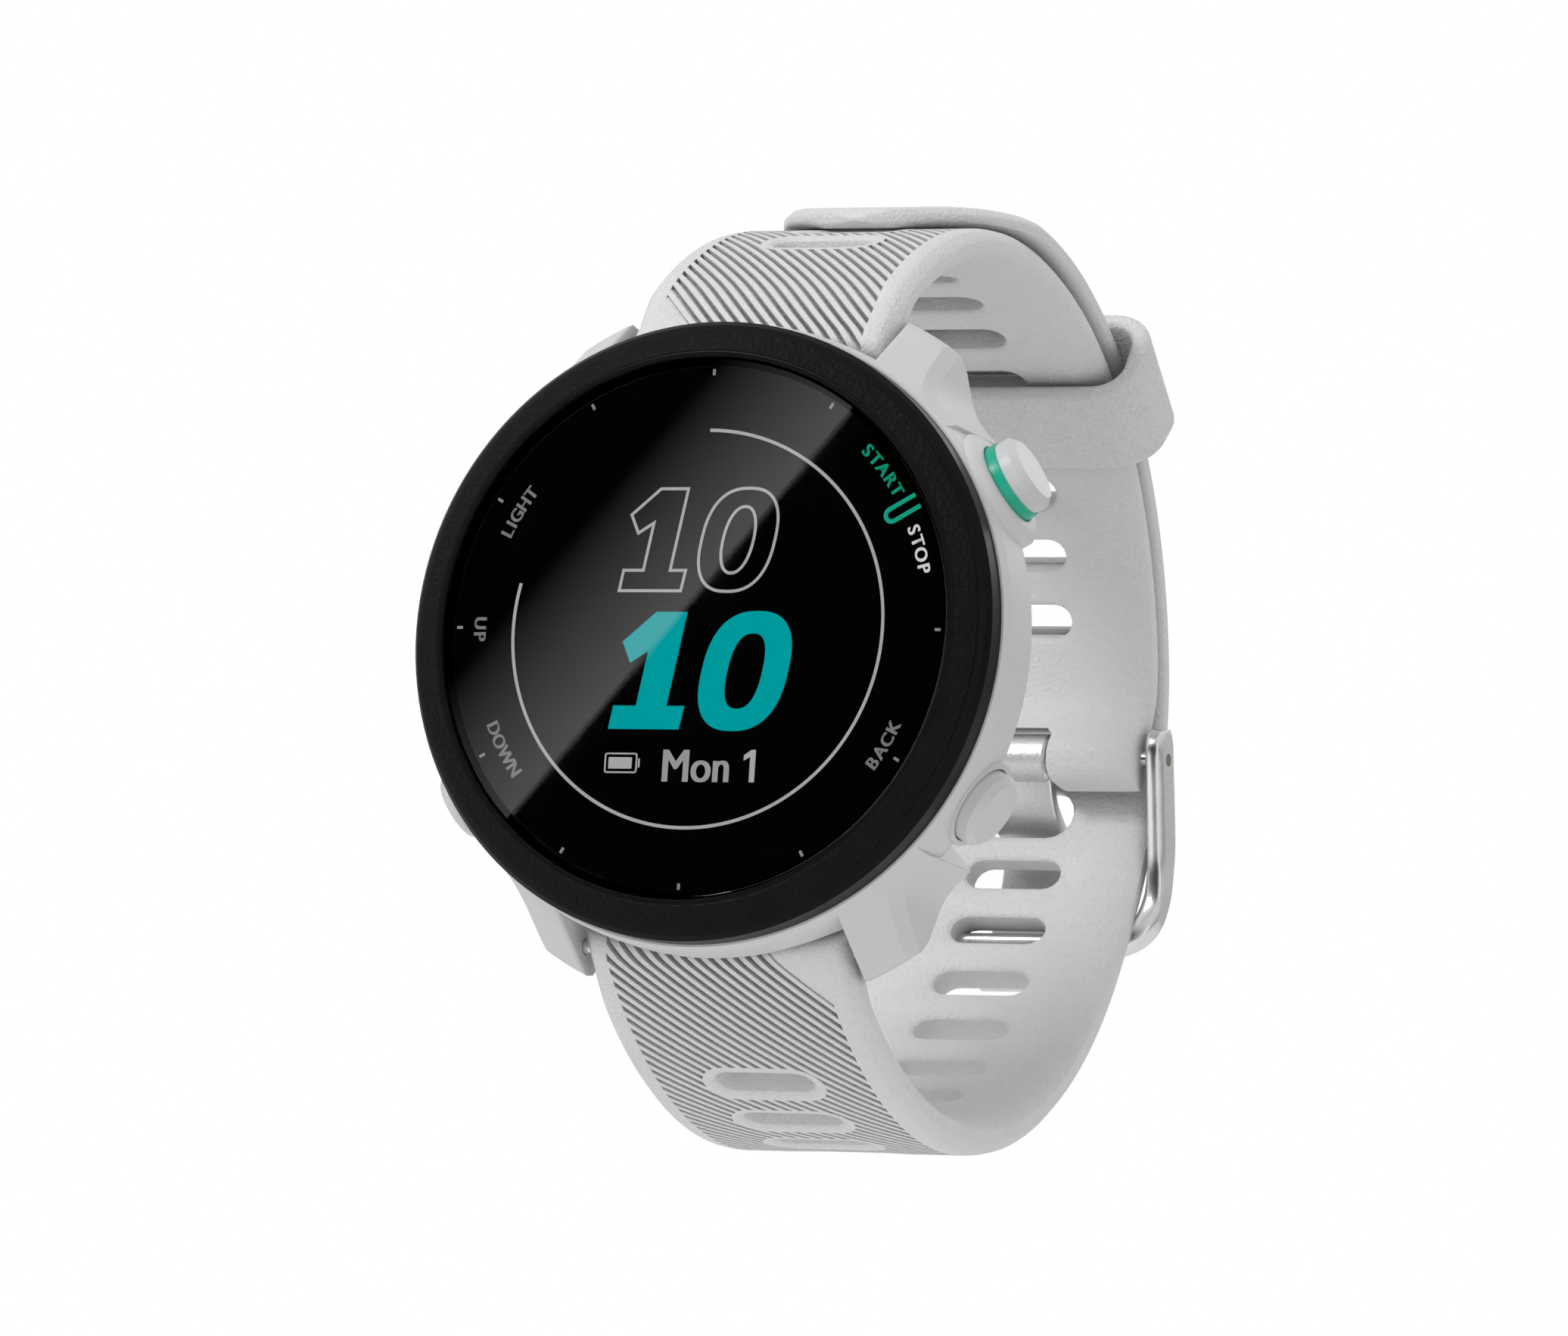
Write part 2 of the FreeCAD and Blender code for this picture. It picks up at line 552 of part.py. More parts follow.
NODES = {
    "case_body": housing(),
    "bezel": bezel(),
    "lens": lens(),
    "lens_adhesive": ring_y(LENS_R, 17.5, LENS_BACK_Y, -10.5),
    "display_panel": display_panel(),
    "display_light_guide": light_guide(),
    "gps_antenna": gps_antenna(),
    "inner_frame": inner_frame(),
    "main_board": main_board(),
    "board_shield": board_shield(),
    "battery": battery(),
    "vibration_motor": vibration_motor(),
    "piezo_buzzer": piezo_buzzer(),
    "back_cover": back_cover(),
    "back_gasket": ring_y(14.75, 14.35, COVER_IN_Y, -1.9),
    "back_screws": back_screws(),
    "sensor_window": sensor_window(),
    "sensor_board": cylinder_y(9.6, -2.3, -1.7),
    "sensor_leds": sensor_leds(),
    "charging_contacts": charging_contacts(),
    "start_button_ring": start_ring(),
    "button_seals": Part.makeCompound(all_clocks(button_seal)),
    "button_switches": Part.makeCompound(all_clocks(button_switch)),
    "strap_upper": strap_upper(),
    "strap_lower": strap_lower(),
    "keeper_loop": keeper(),
    "buckle_pin": cylinder_x(PIN_R, -ARM_OUT_X + 0.1, ARM_OUT_X - 0.1, PIN_Y, PIN_Z),
    "buckle_frame": buckle_frame(),
    "buckle_tongue": buckle_tongue(),
}
for button_name, (clock, face_r) in BUTTONS.items():
    NODES["button_" + button_name] = at_clock(button(face_r), clock)
    NODES["button_clip_" + button_name] = at_clock(button_clip(), clock)
for end_name, end_side in (("upper", 1), ("lower", -1)):
    NODES["bar_tube_" + end_name] = bar_tube(end_side)
    NODES["bar_fixed_tip_" + end_name] = bar_fixed_tip(end_side)
    NODES["bar_release_" + end_name] = bar_release(end_side)
    NODES["bar_spring_" + end_name] = bar_spring(end_side)

os.makedirs("parts", exist_ok=True)
for node, shape in NODES.items():
    shape.exportStep("parts/" + node + ".step")
    print(node, len(shape.Solids), "solids", shape.isValid(), round(shape.Volume, 2))
print(len(NODES), "nodes")
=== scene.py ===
import json
import math

import bmesh
import bpy
from mathutils import Matrix, Vector


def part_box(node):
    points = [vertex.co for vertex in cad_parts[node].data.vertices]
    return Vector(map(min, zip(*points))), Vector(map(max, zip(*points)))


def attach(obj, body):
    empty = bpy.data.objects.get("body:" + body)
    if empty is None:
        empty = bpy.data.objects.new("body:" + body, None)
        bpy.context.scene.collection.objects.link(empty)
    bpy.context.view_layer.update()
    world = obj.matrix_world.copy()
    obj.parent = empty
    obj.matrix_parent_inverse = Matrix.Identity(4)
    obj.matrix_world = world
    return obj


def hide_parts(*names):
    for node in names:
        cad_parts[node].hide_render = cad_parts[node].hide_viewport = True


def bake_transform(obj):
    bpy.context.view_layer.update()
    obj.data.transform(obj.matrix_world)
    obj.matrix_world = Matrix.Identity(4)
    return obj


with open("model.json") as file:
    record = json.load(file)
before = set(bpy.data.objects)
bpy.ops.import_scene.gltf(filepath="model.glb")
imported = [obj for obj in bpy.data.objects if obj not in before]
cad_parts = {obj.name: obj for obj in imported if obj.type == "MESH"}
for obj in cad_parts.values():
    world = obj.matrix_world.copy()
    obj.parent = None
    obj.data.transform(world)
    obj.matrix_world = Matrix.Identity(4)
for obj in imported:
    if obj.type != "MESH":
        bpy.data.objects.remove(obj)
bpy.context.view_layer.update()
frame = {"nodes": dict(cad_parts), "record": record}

# Lengths are millimetres and angles are degrees until a mesh is made. X points to 3 o'clock, Z to
# 12 o'clock and the dial faces -Y.
MM = 0.001
scene = bpy.context.scene


def low(node):
    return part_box(node)[0] / MM


def high(node):
    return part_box(node)[1] / MM


# ---- the camera, in metres
CAMERA_AT = Vector((0.2737, -0.6273, -0.1007))
CAMERA_BACK = Vector((0.39363, -0.90784, -0.14450))
CAMERA_UP = Vector((-0.00556, -0.15954, 0.98718))
CAMERA_LENS = 238.9

# ---- the closed strap: a ring about LOOP_Y, LOOP_Z, angles from +Y towards +Z
LOOP_Y, LOOP_Z = 18.4, 0.5
STRAP_HALF = high("strap_upper").x
STRAP_T = 2.4
STRAP_MID_R = 30.2
ARC_R = 31.4
UPPER_BAR_ANGLE, UPPER_BAR_R = 137.25, 28.87
LOWER_BAR_ANGLE, LOWER_BAR_R = -135.8, 29.56
BAR_END_R = 1.9
PIN_ANGLE, PIN_R, PIN_END_R = -0.5, 28.3, 2.3
STATION_GAP = 0.8
TAIL_MID_R, TAIL_T = 32.45, 1.85
RAMP_START, RAMP_END = -30.0, 12.0
TIP_START, TIP_END = 83.0, 104.0
END_BLEND = 5.0

# ---- grooves and slots in the strap
GROOVE_SLOPE = 1.15
GROOVE_PITCH = 1.08
GROOVE_SHARE = 0.5
GROOVE_DEPTH = 0.38
GROOVE_FADE_IN, GROOVE_FADE_OUT = 3.0, 5.0
RIM = 0.85
FIELD_HALF = 7.7
SLOT_LENGTH = 7.1
UPPER_SLOT_WIDTH, LOWER_SLOT_WIDTH, TONGUE_SLOT_WIDTH = 2.5, 2.4, 3.7
UPPER_SLOTS = [18.8 + 9.35 * k + 0.018 * k * k for k in range(11)]
LOWER_SLOTS = [-16.6 - 9.2 * k - 0.057 * k * k for k in range(-8, 11)]
TONGUE_SLOT = LOWER_SLOTS[7]
# Each pair is a depth from a face of the strap and how much wider a hole is there.
FLARE = [(-0.4, 0.5), (0.0, 0.46), (0.06, 0.3), (0.14, 0.14), (0.26, 0.03), (0.42, 0.0)]

# ---- keeper
KEEPER_ANGLE = 50.3
KEEPER_HALF_WIDTH = 3.85
KEEPER_WALL = 1.3
KEEPER_IN_R, KEEPER_OUT_R = 28.75, 34.3
KEEPER_CORNER_R = 2.5
KEEPER_CROWN = 0.12
KEEPER_EASE = 0.95

# ---- buckle
BUCKLE_ARM_X = 10.42
BUCKLE_END_LENGTH = 1.5
PIN_EYE_RISE = 0.35

# ---- start button
START_ANGLE = 30.0

# ---- dial, whose prints lie just behind the lens
DIAL_Y = high("lens").y
INK_FRONT, INK_BACK = DIAL_Y + 0.004, DIAL_Y + 0.010
BLACK_FRONT, BLACK_BACK = DIAL_Y + 0.015, DIAL_Y + 0.04
PRINT_R = 17.42
TICK_SHRINK = 0.985
TICK_IN_R, TICK_OUT_R, TICK_HALF = 17.13, 17.55, 0.1
TICK_BEHIND_START = 1
ARC_IN_R, ARC_OUT_R = 13.09, 13.31
MARK_ANGLE = 29.5
MARK_IN_R, MARK_OUT_R, MARK_HALF = 15.3, 17.35, 0.42
HOUR_X, HOUR_Z, HOUR_HEIGHT = -5.75, 2.5, 6.8
MINUTE_X, MINUTE_Z, MINUTE_HEIGHT = -5.85, -6.7, 7.8
SLANT, STRETCH = 0.17, 1.07
BOLD_SHIFT = 0.035

# Figures one unit high: the two ones as outlines, and the middle of the nought.
ONE = [(0.0, 0.0), (0.608, 0.0), (0.612, 0.2), (0.458, 0.2), (0.458, 1.0), (0.19, 1.0), (-0.044, 0.744),
       (0.062, 0.565), (0.194, 0.665), (0.194, 0.2), (0.0, 0.2)]
ONE_UPRIGHT = [(0.22, 0.0), (0.42, 0.0), (0.42, 1.0), (0.26, 1.0), (-0.02, 0.83), (-0.02, 0.66), (0.22, 0.78)]
OVAL_X, OVAL_Z = 1.06, 0.5

# How far each letter of a label moves the next one on, in pitches.
LETTER_WIDTHS = {"I": 0.5, "L": 0.85, "S": 0.92, "T": 0.92, "P": 0.95, "B": 0.98, "W": 1.35, "O": 1.15,
                 "N": 1.1}

# ---- reflections in the lens
CARD_REACH, GLARE_WIDTH = 110, 9.5
CARD_Y = -560.0
GLARE_TOP, GLARE_BOTTOM = (10.14, 14.44), (-12.25, -12.59)


# ---------------------------------------------------------------- mesh helpers
def object_from(name, bm, materials, smooth_angle=35.0):
    """Makes an object from a bmesh in millimetres, smooth except at edges sharper than the angle."""
    limit = math.radians(smooth_angle)
    bmesh.ops.recalc_face_normals(bm, faces=bm.faces)
    for face in bm.faces:
        face.smooth = True
    for edge in bm.edges:
        edge.smooth = len(edge.link_faces) == 2 and edge.calc_face_angle(0.0) < limit
    bmesh.ops.scale(bm, vec=(MM, MM, MM), verts=bm.verts)
    mesh = bpy.data.meshes.new(name)
    bm.to_mesh(mesh)
    bm.free()
    for material in materials:
        mesh.materials.append(material)
    piece = bpy.data.objects.new(name, mesh)
    scene.collection.objects.link(piece)
    return piece


def add_rings(bm, rings, capped=True):
    """Skins closed loops of points, one after another; both ends are capped, or joined to each other."""
    rows = [[bm.verts.new(p) for p in ring] for ring in rings]
    count = len(rows[0])
    pairs = list(zip(rows, rows[1:]))
    if not capped:
        pairs.append((rows[-1], rows[0]))
    for a, b in pairs:
        for i in range(count):
            j = (i + 1) % count
            bm.faces.new((a[i], a[j], b[j], b[i]))
    if capped:
        bm.faces.new(rows[0][::-1])
        bm.faces.new(rows[-1])


def boolean(bm, cutter, operation="DIFFERENCE"):
    """Exact boolean of two bmeshes; returns the new bmesh."""
    objects = []
    for source in (bm, cutter):
        mesh = bpy.data.meshes.new("work")
        bmesh.ops.recalc_face_normals(source, faces=source.faces)
        source.to_mesh(mesh)
        source.free()
        work = bpy.data.objects.new("work", mesh)
        scene.collection.objects.link(work)
        objects.append(work)
    modifier = objects[0].modifiers.new("cut", "BOOLEAN")
    modifier.operation = operation
    modifier.solver = "EXACT"
    modifier.object = objects[1]
    graph = bpy.context.evaluated_depsgraph_get()
    result = bpy.data.meshes.new_from_object(objects[0].evaluated_get(graph))
    made = bmesh.new()
    made.from_mesh(result)
    for work in objects:
        mesh = work.data
        bpy.data.objects.remove(work)
        bpy.data.meshes.remove(mesh)
    bpy.data.meshes.remove(result)
    return made


def smoothstep(t):
    """Eases from 0 to 1 as t goes from 0 to 1."""
    t = min(1.0, max(0.0, t))
    return t * t * (3 - 2 * t)


def mix(a, b, t):
    """The value that lies the share t of the way from a to b."""
    return a + (b - a) * t


def circle(radius, steps):
    """Points evenly round a circle."""
    turns = [math.tau * k / steps for k in range(steps)]
    return [(radius * math.cos(a), radius * math.sin(a)) for a in turns]


def rounded_box_with_normals(half_x, half_y, radius, steps):
    """Each point of a rounded rectangle, counter-clockwise, with its outward direction."""
    pairs = []
    for quarter, (sx, sy) in enumerate(((1, 1), (-1, 1), (-1, -1), (1, -1))):
        for k in range(steps + 1):
            a = math.radians(90 * (quarter + k / steps))
            out = (math.cos(a), math.sin(a))
            point = (sx * (half_x - radius) + radius * out[0], sy * (half_y - radius) + radius * out[1])
            pairs.append((point, out))
    return pairs


def rounded_box(half_x, half_y, radius, steps=4):
    """Outline of a rounded rectangle, counter-clockwise."""
    return [point for point, out in rounded_box_with_normals(half_x, half_y, radius, steps)]


def along_at(line, i):
    """The direction of a line at its point i."""
    return (line[min(i + 1, len(line) - 1)] - line[max(i - 1, 0)]).normalized()


def loop_point(degrees, radius, x):
    """A point at an angle and radius on the strap's loop."""
    a = math.radians(degrees)
    return Vector((x, LOOP_Y + radius * math.cos(a), LOOP_Z + radius * math.sin(a)))


def place(piece, body, slot, *replaced):
    """Hangs a piece on the empty of the body it rides on and hides the nodes it stands for; the slot is not
    used.
    """
    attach(piece, body)
    if replaced:
        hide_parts(*replaced)
    return piece


# ---------------------------------------------------------------- material helpers
class Paint:
    """A Principled material and the few nodes that its procedural detail needs."""

    def __init__(self, name, rough, metallic=0.0, **sockets):
        self.material = bpy.data.materials.new(name)
        self.material.use_nodes = True
        self.tree = self.material.node_tree
        self.shader = self.tree.nodes["Principled BSDF"]
        self.shader.inputs["Roughness"].default_value = rough
        self.shader.inputs["Metallic"].default_value = metallic
        for socket, value in sockets.items():
            self.shader.inputs[socket.replace("_", " ")].default_value = value
        self.coordinate = self.tree.nodes.new("ShaderNodeTexCoord").outputs["Object"]

    def node(self, kind, **inputs):
        made = self.tree.nodes.new("ShaderNode" + kind)
        for socket, value in inputs.items():
            self.feed(made.inputs[socket.replace("_", " ")], value)
        return made

    def feed(self, socket, value):
        if isinstance(value, bpy.types.NodeSocket):
            self.tree.links.new(value, socket)
        else:
            socket.default_value = value

    def noise(self, size, detail=3.0, distortion=0.0, vector=None):
        """Noise with features of about the given size in millimetres."""
        made = self.node("TexNoise", Scale=1 / (size * MM), Detail=detail, Distortion=distortion)
        self.feed(made.inputs["Vector"], vector or self.coordinate)
        return made.outputs["Fac"]

    def cells(self, size):
        """Rounded cells of about the given size in millimetres."""
        made = self.node("TexVoronoi", Vector=self.coordinate, Scale=1 / (size * MM))
        return made.outputs["Distance"]

    def math(self, operation, a, b=0.0, clamp=False):
        made = self.tree.nodes.new("ShaderNodeMath")
        made.operation = operation
        made.use_clamp = clamp
        self.feed(made.inputs[0], a)
        self.feed(made.inputs[1], b)
        return made.outputs[0]

    def range(self, value, from_low, from_high, to_low, to_high):
        limits = dict(From_Min=from_low, From_Max=from_high, To_Min=to_low, To_Max=to_high)
        return self.node("MapRange", Value=value, **limits).outputs["Result"]

    def colours(self, factor, first, second):
        """Mixes the base colour from two colours."""
        made = self.tree.nodes.new("ShaderNodeMix")
        made.data_type = "RGBA"
        self.feed(made.inputs["Factor"], factor)
        made.inputs[6].default_value = (*first, 1.0)
        made.inputs[7].default_value = (*second, 1.0)
        self.tree.links.new(made.outputs[2], self.shader.inputs["Base Color"])

    def rough(self, factor, low_value, high_value):
        level = self.range(factor, 0.0, 1.0, low_value, high_value)
        self.tree.links.new(level, self.shader.inputs["Roughness"])

    def bump(self, height, depth, strength=1.0, normal=None):
        made = self.node("Bump", Strength=strength, Distance=depth * MM, Height=height)
        if normal is not None:
            self.feed(made.inputs["Normal"], normal)
        return made.outputs["Normal"]

    def edge(self, radius):
        """A normal that rounds sharp edges by the radius."""
        made = self.tree.nodes.new("ShaderNodeBevel")
        made.samples = 4
        made.inputs["Radius"].default_value = radius * MM
        return made.outputs["Normal"]

    def surface(self, normal):
        """Sets the normal and hands back the finished material."""
        self.tree.links.new(normal, self.shader.inputs["Normal"])
        return self.material


def grained(name, light, dark, rough, grain, depth, edge=0.0, **sockets):
    """A moulded surface: soft colour clouding, fine grain and slightly uneven roughness."""
    paint = Paint(name, rough, **sockets)
    paint.colours(paint.noise(3.0, 4.0), dark, light)
    paint.rough(paint.noise(grain * 1.7, 2.0), rough - 0.06, rough + 0.08)
    grains = paint.noise(grain, 3.0, 0.6)
    return paint.surface(paint.bump(grains, depth, 0.5, paint.edge(edge) if edge else None))


def silicone(name, grain_depth):
    """Light grey silicone with painted shade in its hollows, where an ambient occlusion node darkens the
    colour, and a leather-like grain of wandering creases.
    """
    paint = Paint(name, 0.56, Sheen_Weight=0.08, Specular_IOR_Level=0.42)
    # Painted shade: ambient occlusion pulls the colour towards the dark grey in slots, grooves and hollows;
    # only the faint clouds are the silicone's own tone.
    painted_occlusion_shade = paint.node("AmbientOcclusion", Distance=1.8 * MM).outputs["AO"]
    unshaded_share = paint.range(painted_occlusion_shade, 0.15, 0.85, 0.0, 0.9)
    clouds = paint.range(paint.noise(2.4, 5.0), 0.3, 0.7, 0.975, 1.02)
    light = paint.math("MULTIPLY", unshaded_share, clouds, True)
    paint.colours(light, (0.38, 0.381, 0.382), (0.80, 0.802, 0.803))
    paint.rough(paint.noise(0.5, 2.0), 0.48, 0.64)
    creases = paint.noise(0.34, 3.0, 1.6)
    pores = paint.cells(0.26)
    height = paint.math("ADD", creases, paint.math("MULTIPLY", pores, 0.5))
    return paint.surface(paint.bump(height, grain_depth, 1.0))


def bezel_material(name):
    """Black polymer, leather-like on the cone and smooth on the outer chamfer and the inner ring."""
    paint = Paint(name, 0.42, Specular_IOR_Level=0.08)
    axes = paint.node("SeparateXYZ", Vector=paint.coordinate)
    x_squared = paint.math("POWER", axes.outputs["X"], 2.0)
    z_squared = paint.math("POWER", axes.outputs["Z"], 2.0)
    radius = paint.math("SQRT", paint.math("ADD", x_squared, z_squared))
    inside = paint.range(radius, 18.42 * MM, 18.5 * MM, 0.0, 1.0)
    outside = paint.range(radius, 19.82 * MM, 19.9 * MM, 1.0, 0.0)
    mask = paint.math("MULTIPLY", inside, outside)
    paint.colours(paint.noise(2.0, 3.0), (0.004, 0.004, 0.0043), (0.007, 0.007, 0.0075))
    paint.rough(paint.math("MULTIPLY", mask, paint.noise(0.4, 2.0)), 0.3, 0.62)
    bumps = paint.math("ADD", paint.noise(0.42, 3.0, 1.6), paint.math("MULTIPLY", paint.cells(0.36), 0.7))
    return paint.surface(paint.bump(paint.math("MULTIPLY", bumps, mask), 0.12, 1.0, paint.edge(0.08)))


def blasted_steel(name):
    """Bead-blasted stainless steel with a fine sparkle."""
    paint = Paint(name, 0.36, 1.0)
    speckle = paint.noise(0.16, 2.0)
    paint.colours(speckle, (0.62, 0.62, 0.61), (0.92, 0.92, 0.91))
    paint.rough(paint.noise(0.2, 2.0), 0.34, 0.56)
    return paint.surface(paint.bump(speckle, 0.03, 0.8))


def polished_steel(name, along_x=False):
    """Polished stainless steel with faint drawn lines."""
    paint = Paint(name, 0.2, 1.0)
    stretch = paint.node("Mapping", Vector=paint.coordinate)
    stretch.inputs["Scale"].default_value = (0.1, 1.0, 1.0) if along_x else (1.0, 1.0, 0.1)
    lines = paint.noise(0.12, 2.0, 0.0, stretch.outputs["Vector"])
    paint.colours(paint.noise(1.5, 3.0), (0.78, 0.78, 0.77), (0.9, 0.9, 0.89))
    paint.rough(lines, 0.12, 0.3)
    return paint.surface(paint.bump(lines, 0.004, 0.4))


def lens_material(name):
    """Clear glass; a trace of polish marks keeps its gloss from being perfectly even."""
    paint = Paint(name, 0.0, Transmission_Weight=1.0, IOR=1.45)
    paint.shader.inputs["Base Color"].default_value = (1.0, 1.0, 1.0, 1.0)
    paint.rough(paint.noise(4.0, 2.0), 0.0, 0.02)
    return paint.material


def ink(name, colour, glow):
    """Display or printed ink: a nearly even colour with a painted glow, emission in the ink's own colour,
    though neither the display nor the print gives light.
    """
    # Painted glow: the emission strength brightens ink that gives no light of its own.
    paint = Paint(name, 0.5, Specular_IOR_Level=0.0, Emission_Strength=glow)
    dim = tuple(c * 0.93 for c in colour)
    paint.colours(paint.noise(0.2, 1.0), dim, colour)
    paint.shader.inputs["Emission Color"].default_value = (*colour, 1.0)
    return paint.material


# Both silicones carry painted shade in their hollows through the ambient occlusion in silicone().
SILICONE = silicone("strap_silicone", 0.09)
KEEPER_SILICONE = silicone("keeper_silicone", 0.14)
HOUSING = grained("housing_polymer", (0.69, 0.693, 0.696), (0.64, 0.643, 0.646), 0.42, 0.12, 0.006,
                  edge=0.12)
BUTTON = grained("button_polymer", (0.66, 0.665, 0.67), (0.61, 0.615, 0.62), 0.33, 0.2, 0.004,
                 edge=0.1)
BLASTED = blasted_steel("blasted_steel")
POLISHED = polished_steel("polished_steel")
PIN_METAL = grained("pin_metal", (0.30, 0.29, 0.22), (0.22, 0.21, 0.16), 0.35, 0.1, 0.004, Metallic=1.0)
BLACK_PRINT = grained("lens_print_black", (0.0016, 0.0016, 0.0018), (0.001, 0.001, 0.0012), 0.5, 0.3, 0.002,
                      Specular_IOR_Level=0.0)
# The last number of each ink is its painted glow.
GREY_INK = ink("display_grey", (0.46, 0.46, 0.46), 0.35)
TEAL_INK = ink("display_teal", (0.0, 0.38, 0.395), 0.38)
WHITE_INK = ink("print_white", (0.78, 0.78, 0.78), 0.25)
GREEN_INK = ink("print_green", (0.01, 0.42, 0.27), 0.3)
DIM_INK = ink("print_dim_grey", (0.30, 0.30, 0.30), 0.3)


# ---------------------------------------------------------------- strap halves
def strap_profile():
    """Cross-section (x, h), h from the wrist side: rounded inner edges, upright sides, outer chamfers."""
    flat_half, round_x, round_h = 7.3, 2.15, 0.9
    half = []
    for k in range(7):
        a = math.radians(15 * k)
        half.append((flat_half + round_x * math.sin(a), round_h - round_h * math.cos(a)))
    half += [(9.45, 1.5), (9.41, 1.6), (8.86, 2.19), (8.72, 2.27), (8.3, 2.37), (8.0, STRAP_T)]
    scale = STRAP_HALF / 9.45
    right = [(x * scale, h) for x, h in half]
    return right + [(-x, h) for x, h in reversed(right)]


def stadium(length, width, grow, steps=8):
    """Outline of a slot with round ends, made larger all round by grow."""
    radius = width / 2 + grow
    reach = (length - width) / 2
    points = []
    for side in (1, -1):
        for k in range(steps + 1):
            a = math.radians(-90 * side + 180 * k / steps)
            points.append((side * reach + radius * math.cos(a), radius * math.sin(a)))
    return points


def add_flared_hole(bm, outline, s):
    """A cutter whose mouth flares on both faces of the strap; outline(grow) gives its points."""
    levels = FLARE + [(STRAP_T - h, grow) for h, grow in reversed(FLARE)]
    add_rings(bm, [[(x, s + v, h) for x, v in outline(grow)] for h, grow in levels])


def cut_slot_rims(grooves, slots, slot_width, top):
    """Takes a smooth rim round each slot out of the groove cutters."""
    rims = bmesh.new()
    outline = stadium(SLOT_LENGTH, slot_width, RIM, 10)
    for s in slots:
        add_rings(rims, [[(x, s + v, h) for x, v in outline] for h in (STRAP_T - 1.0, top + 0.3)])
    return boolean(grooves, rims)


def groove_cutters(first_s, last_s, slots, slot_width, mirror):
    """Sloping saw-tooth grooves, cut off at the field's sides and round each slot's rim."""
    bm = bmesh.new()
    span = FIELD_HALF * GROOVE_SLOPE
    width = GROOVE_PITCH * GROOVE_SHARE
    top = STRAP_T + 0.2
    count = int((last_s - first_s) / GROOVE_PITCH)
    for k in range(count):
        s = first_s + k * GROOVE_PITCH
        fade_in = smoothstep((s - first_s + 1.0) / GROOVE_FADE_IN)
        fade_out = smoothstep((last_s - s) / GROOVE_FADE_OUT + 0.15)
        depth = GROOVE_DEPTH * fade_in * fade_out
        lift = (top - STRAP_T) / depth * width
        section = [(-lift, top), (width, STRAP_T - depth), (width, top)]
        ends = []
        for side in (-1, 1):
            ends.append([(mirror * side * FIELD_HALF, s + v - side * span, h) for v, h in section])
        add_rings(bm, ends)
    return cut_slot_rims(bm, slots, slot_width, top)


def slot_cutters(slots, slot_width):
    """Cutters for the row of slots; the one that the tongue passes through is wider."""
    holes = bmesh.new()
    for s in slots:
        width = TONGUE_SLOT_WIDTH if s == lower_s(TONGUE_SLOT) else slot_width
        add_flared_hole(holes, lambda grow: stadium(SLOT_LENGTH, width, grow), s)
    return holes


def divide(bm, length, start_r, end_r):
    """Divides the flat strap evenly along its length, and more finely where its ends are rounded."""
    stations = [k * STATION_GAP for k in range(1, int(length / STATION_GAP) + 1)] + [0.0]
    for radius, base, sign in ((start_r, 0.0, -1), (end_r, length, 1)):
        for angle in (15, 30, 42, 54, 64, 73, 81, 87):
            stations.append(base + sign * radius * math.sin(math.radians(angle)))
    for s in sorted(stations):
        geometry = bm.verts[:] + bm.edges[:] + bm.faces[:]
        bmesh.ops.bisect_plane(bm, geom=geometry, plane_co=(0, s, 0), plane_no=(0, 1, 0), dist=1e-5)
    bmesh.ops.triangulate(bm, faces=[f for f in bm.faces if len(f.verts) > 4])


def strap_half(name, length, start_r, end_r, slots, slot_width, grooves, mirror, extra_cut, bend):
    """Cuts the flat strap, divides it, bends it into place and returns the object."""
    profile = strap_profile()
    bm = bmesh.new()
    add_rings(bm, [[(x, s, h) for x, h in profile] for s in (-start_r, length + end_r)])
    first_s, last_s = grooves
    grooved_slots = [s for s in slots if s < last_s + 6]
    bm = boolean(bm, groove_cutters(first_s, last_s, grooved_slots, slot_width, mirror))
    holes = slot_cutters(slots, slot_width)
    if extra_cut:
        extra_cut(holes)
    bm = boolean(bm, holes)
    divide(bm, length, start_r, end_r)
    for vertex in bm.verts:
        vertex.co = bend(*vertex.co)
    bmesh.ops.remove_doubles(bm, verts=bm.verts, dist=0.002)
    return object_from(name, bm, [SILICONE], 26.0)


def end_shape(distance, bar_r, end_r, mid_r, half_t):
    """Centre radius and half thickness at a distance from a bar, negative beyond the bar."""
    if distance < 0:
        return bar_r, math.sqrt(max(end_r * end_r - distance * distance, 0.0009))
    t = smoothstep(distance / END_BLEND)
    return mix(bar_r, mid_r, t), mix(end_r, half_t, t)


UPPER_LENGTH = math.radians(UPPER_BAR_ANGLE - PIN_ANGLE) * ARC_R
LOWER_LENGTH = math.radians(TIP_END - LOWER_BAR_ANGLE) * ARC_R


def upper_s(degrees):
    """How far along the buckle half a loop angle lies, from its spring bar."""
    return math.radians(UPPER_BAR_ANGLE - degrees) * ARC_R


def lower_s(degrees):
    """How far along the long half a loop angle lies, from its spring bar."""
    return math.radians(degrees - LOWER_BAR_ANGLE) * ARC_R


def bend_upper(x, s, h):
    """Bends the buckle half from its spring bar to the buckle pin; it narrows a little at the pin."""
    if s < UPPER_LENGTH / 2:
        centre, half = end_shape(s, UPPER_BAR_R, BAR_END_R, STRAP_MID_R, STRAP_T / 2)
    else:
        centre, half = end_shape(UPPER_LENGTH - s, PIN_R, PIN_END_R, STRAP_MID_R, STRAP_T / 2)
    x *= mix(1.0, 0.985, smoothstep((s - UPPER_LENGTH + 7.5) / 4.5))
    radius = centre + (h / STRAP_T * 2 - 1) * half
    past_end = max(0.0, s - UPPER_LENGTH) * (ARC_R / PIN_R - 1) + min(0.0, s) * (ARC_R / UPPER_BAR_R - 1)
    return loop_point(UPPER_BAR_ANGLE - math.degrees((s + past_end) / ARC_R), radius, x)


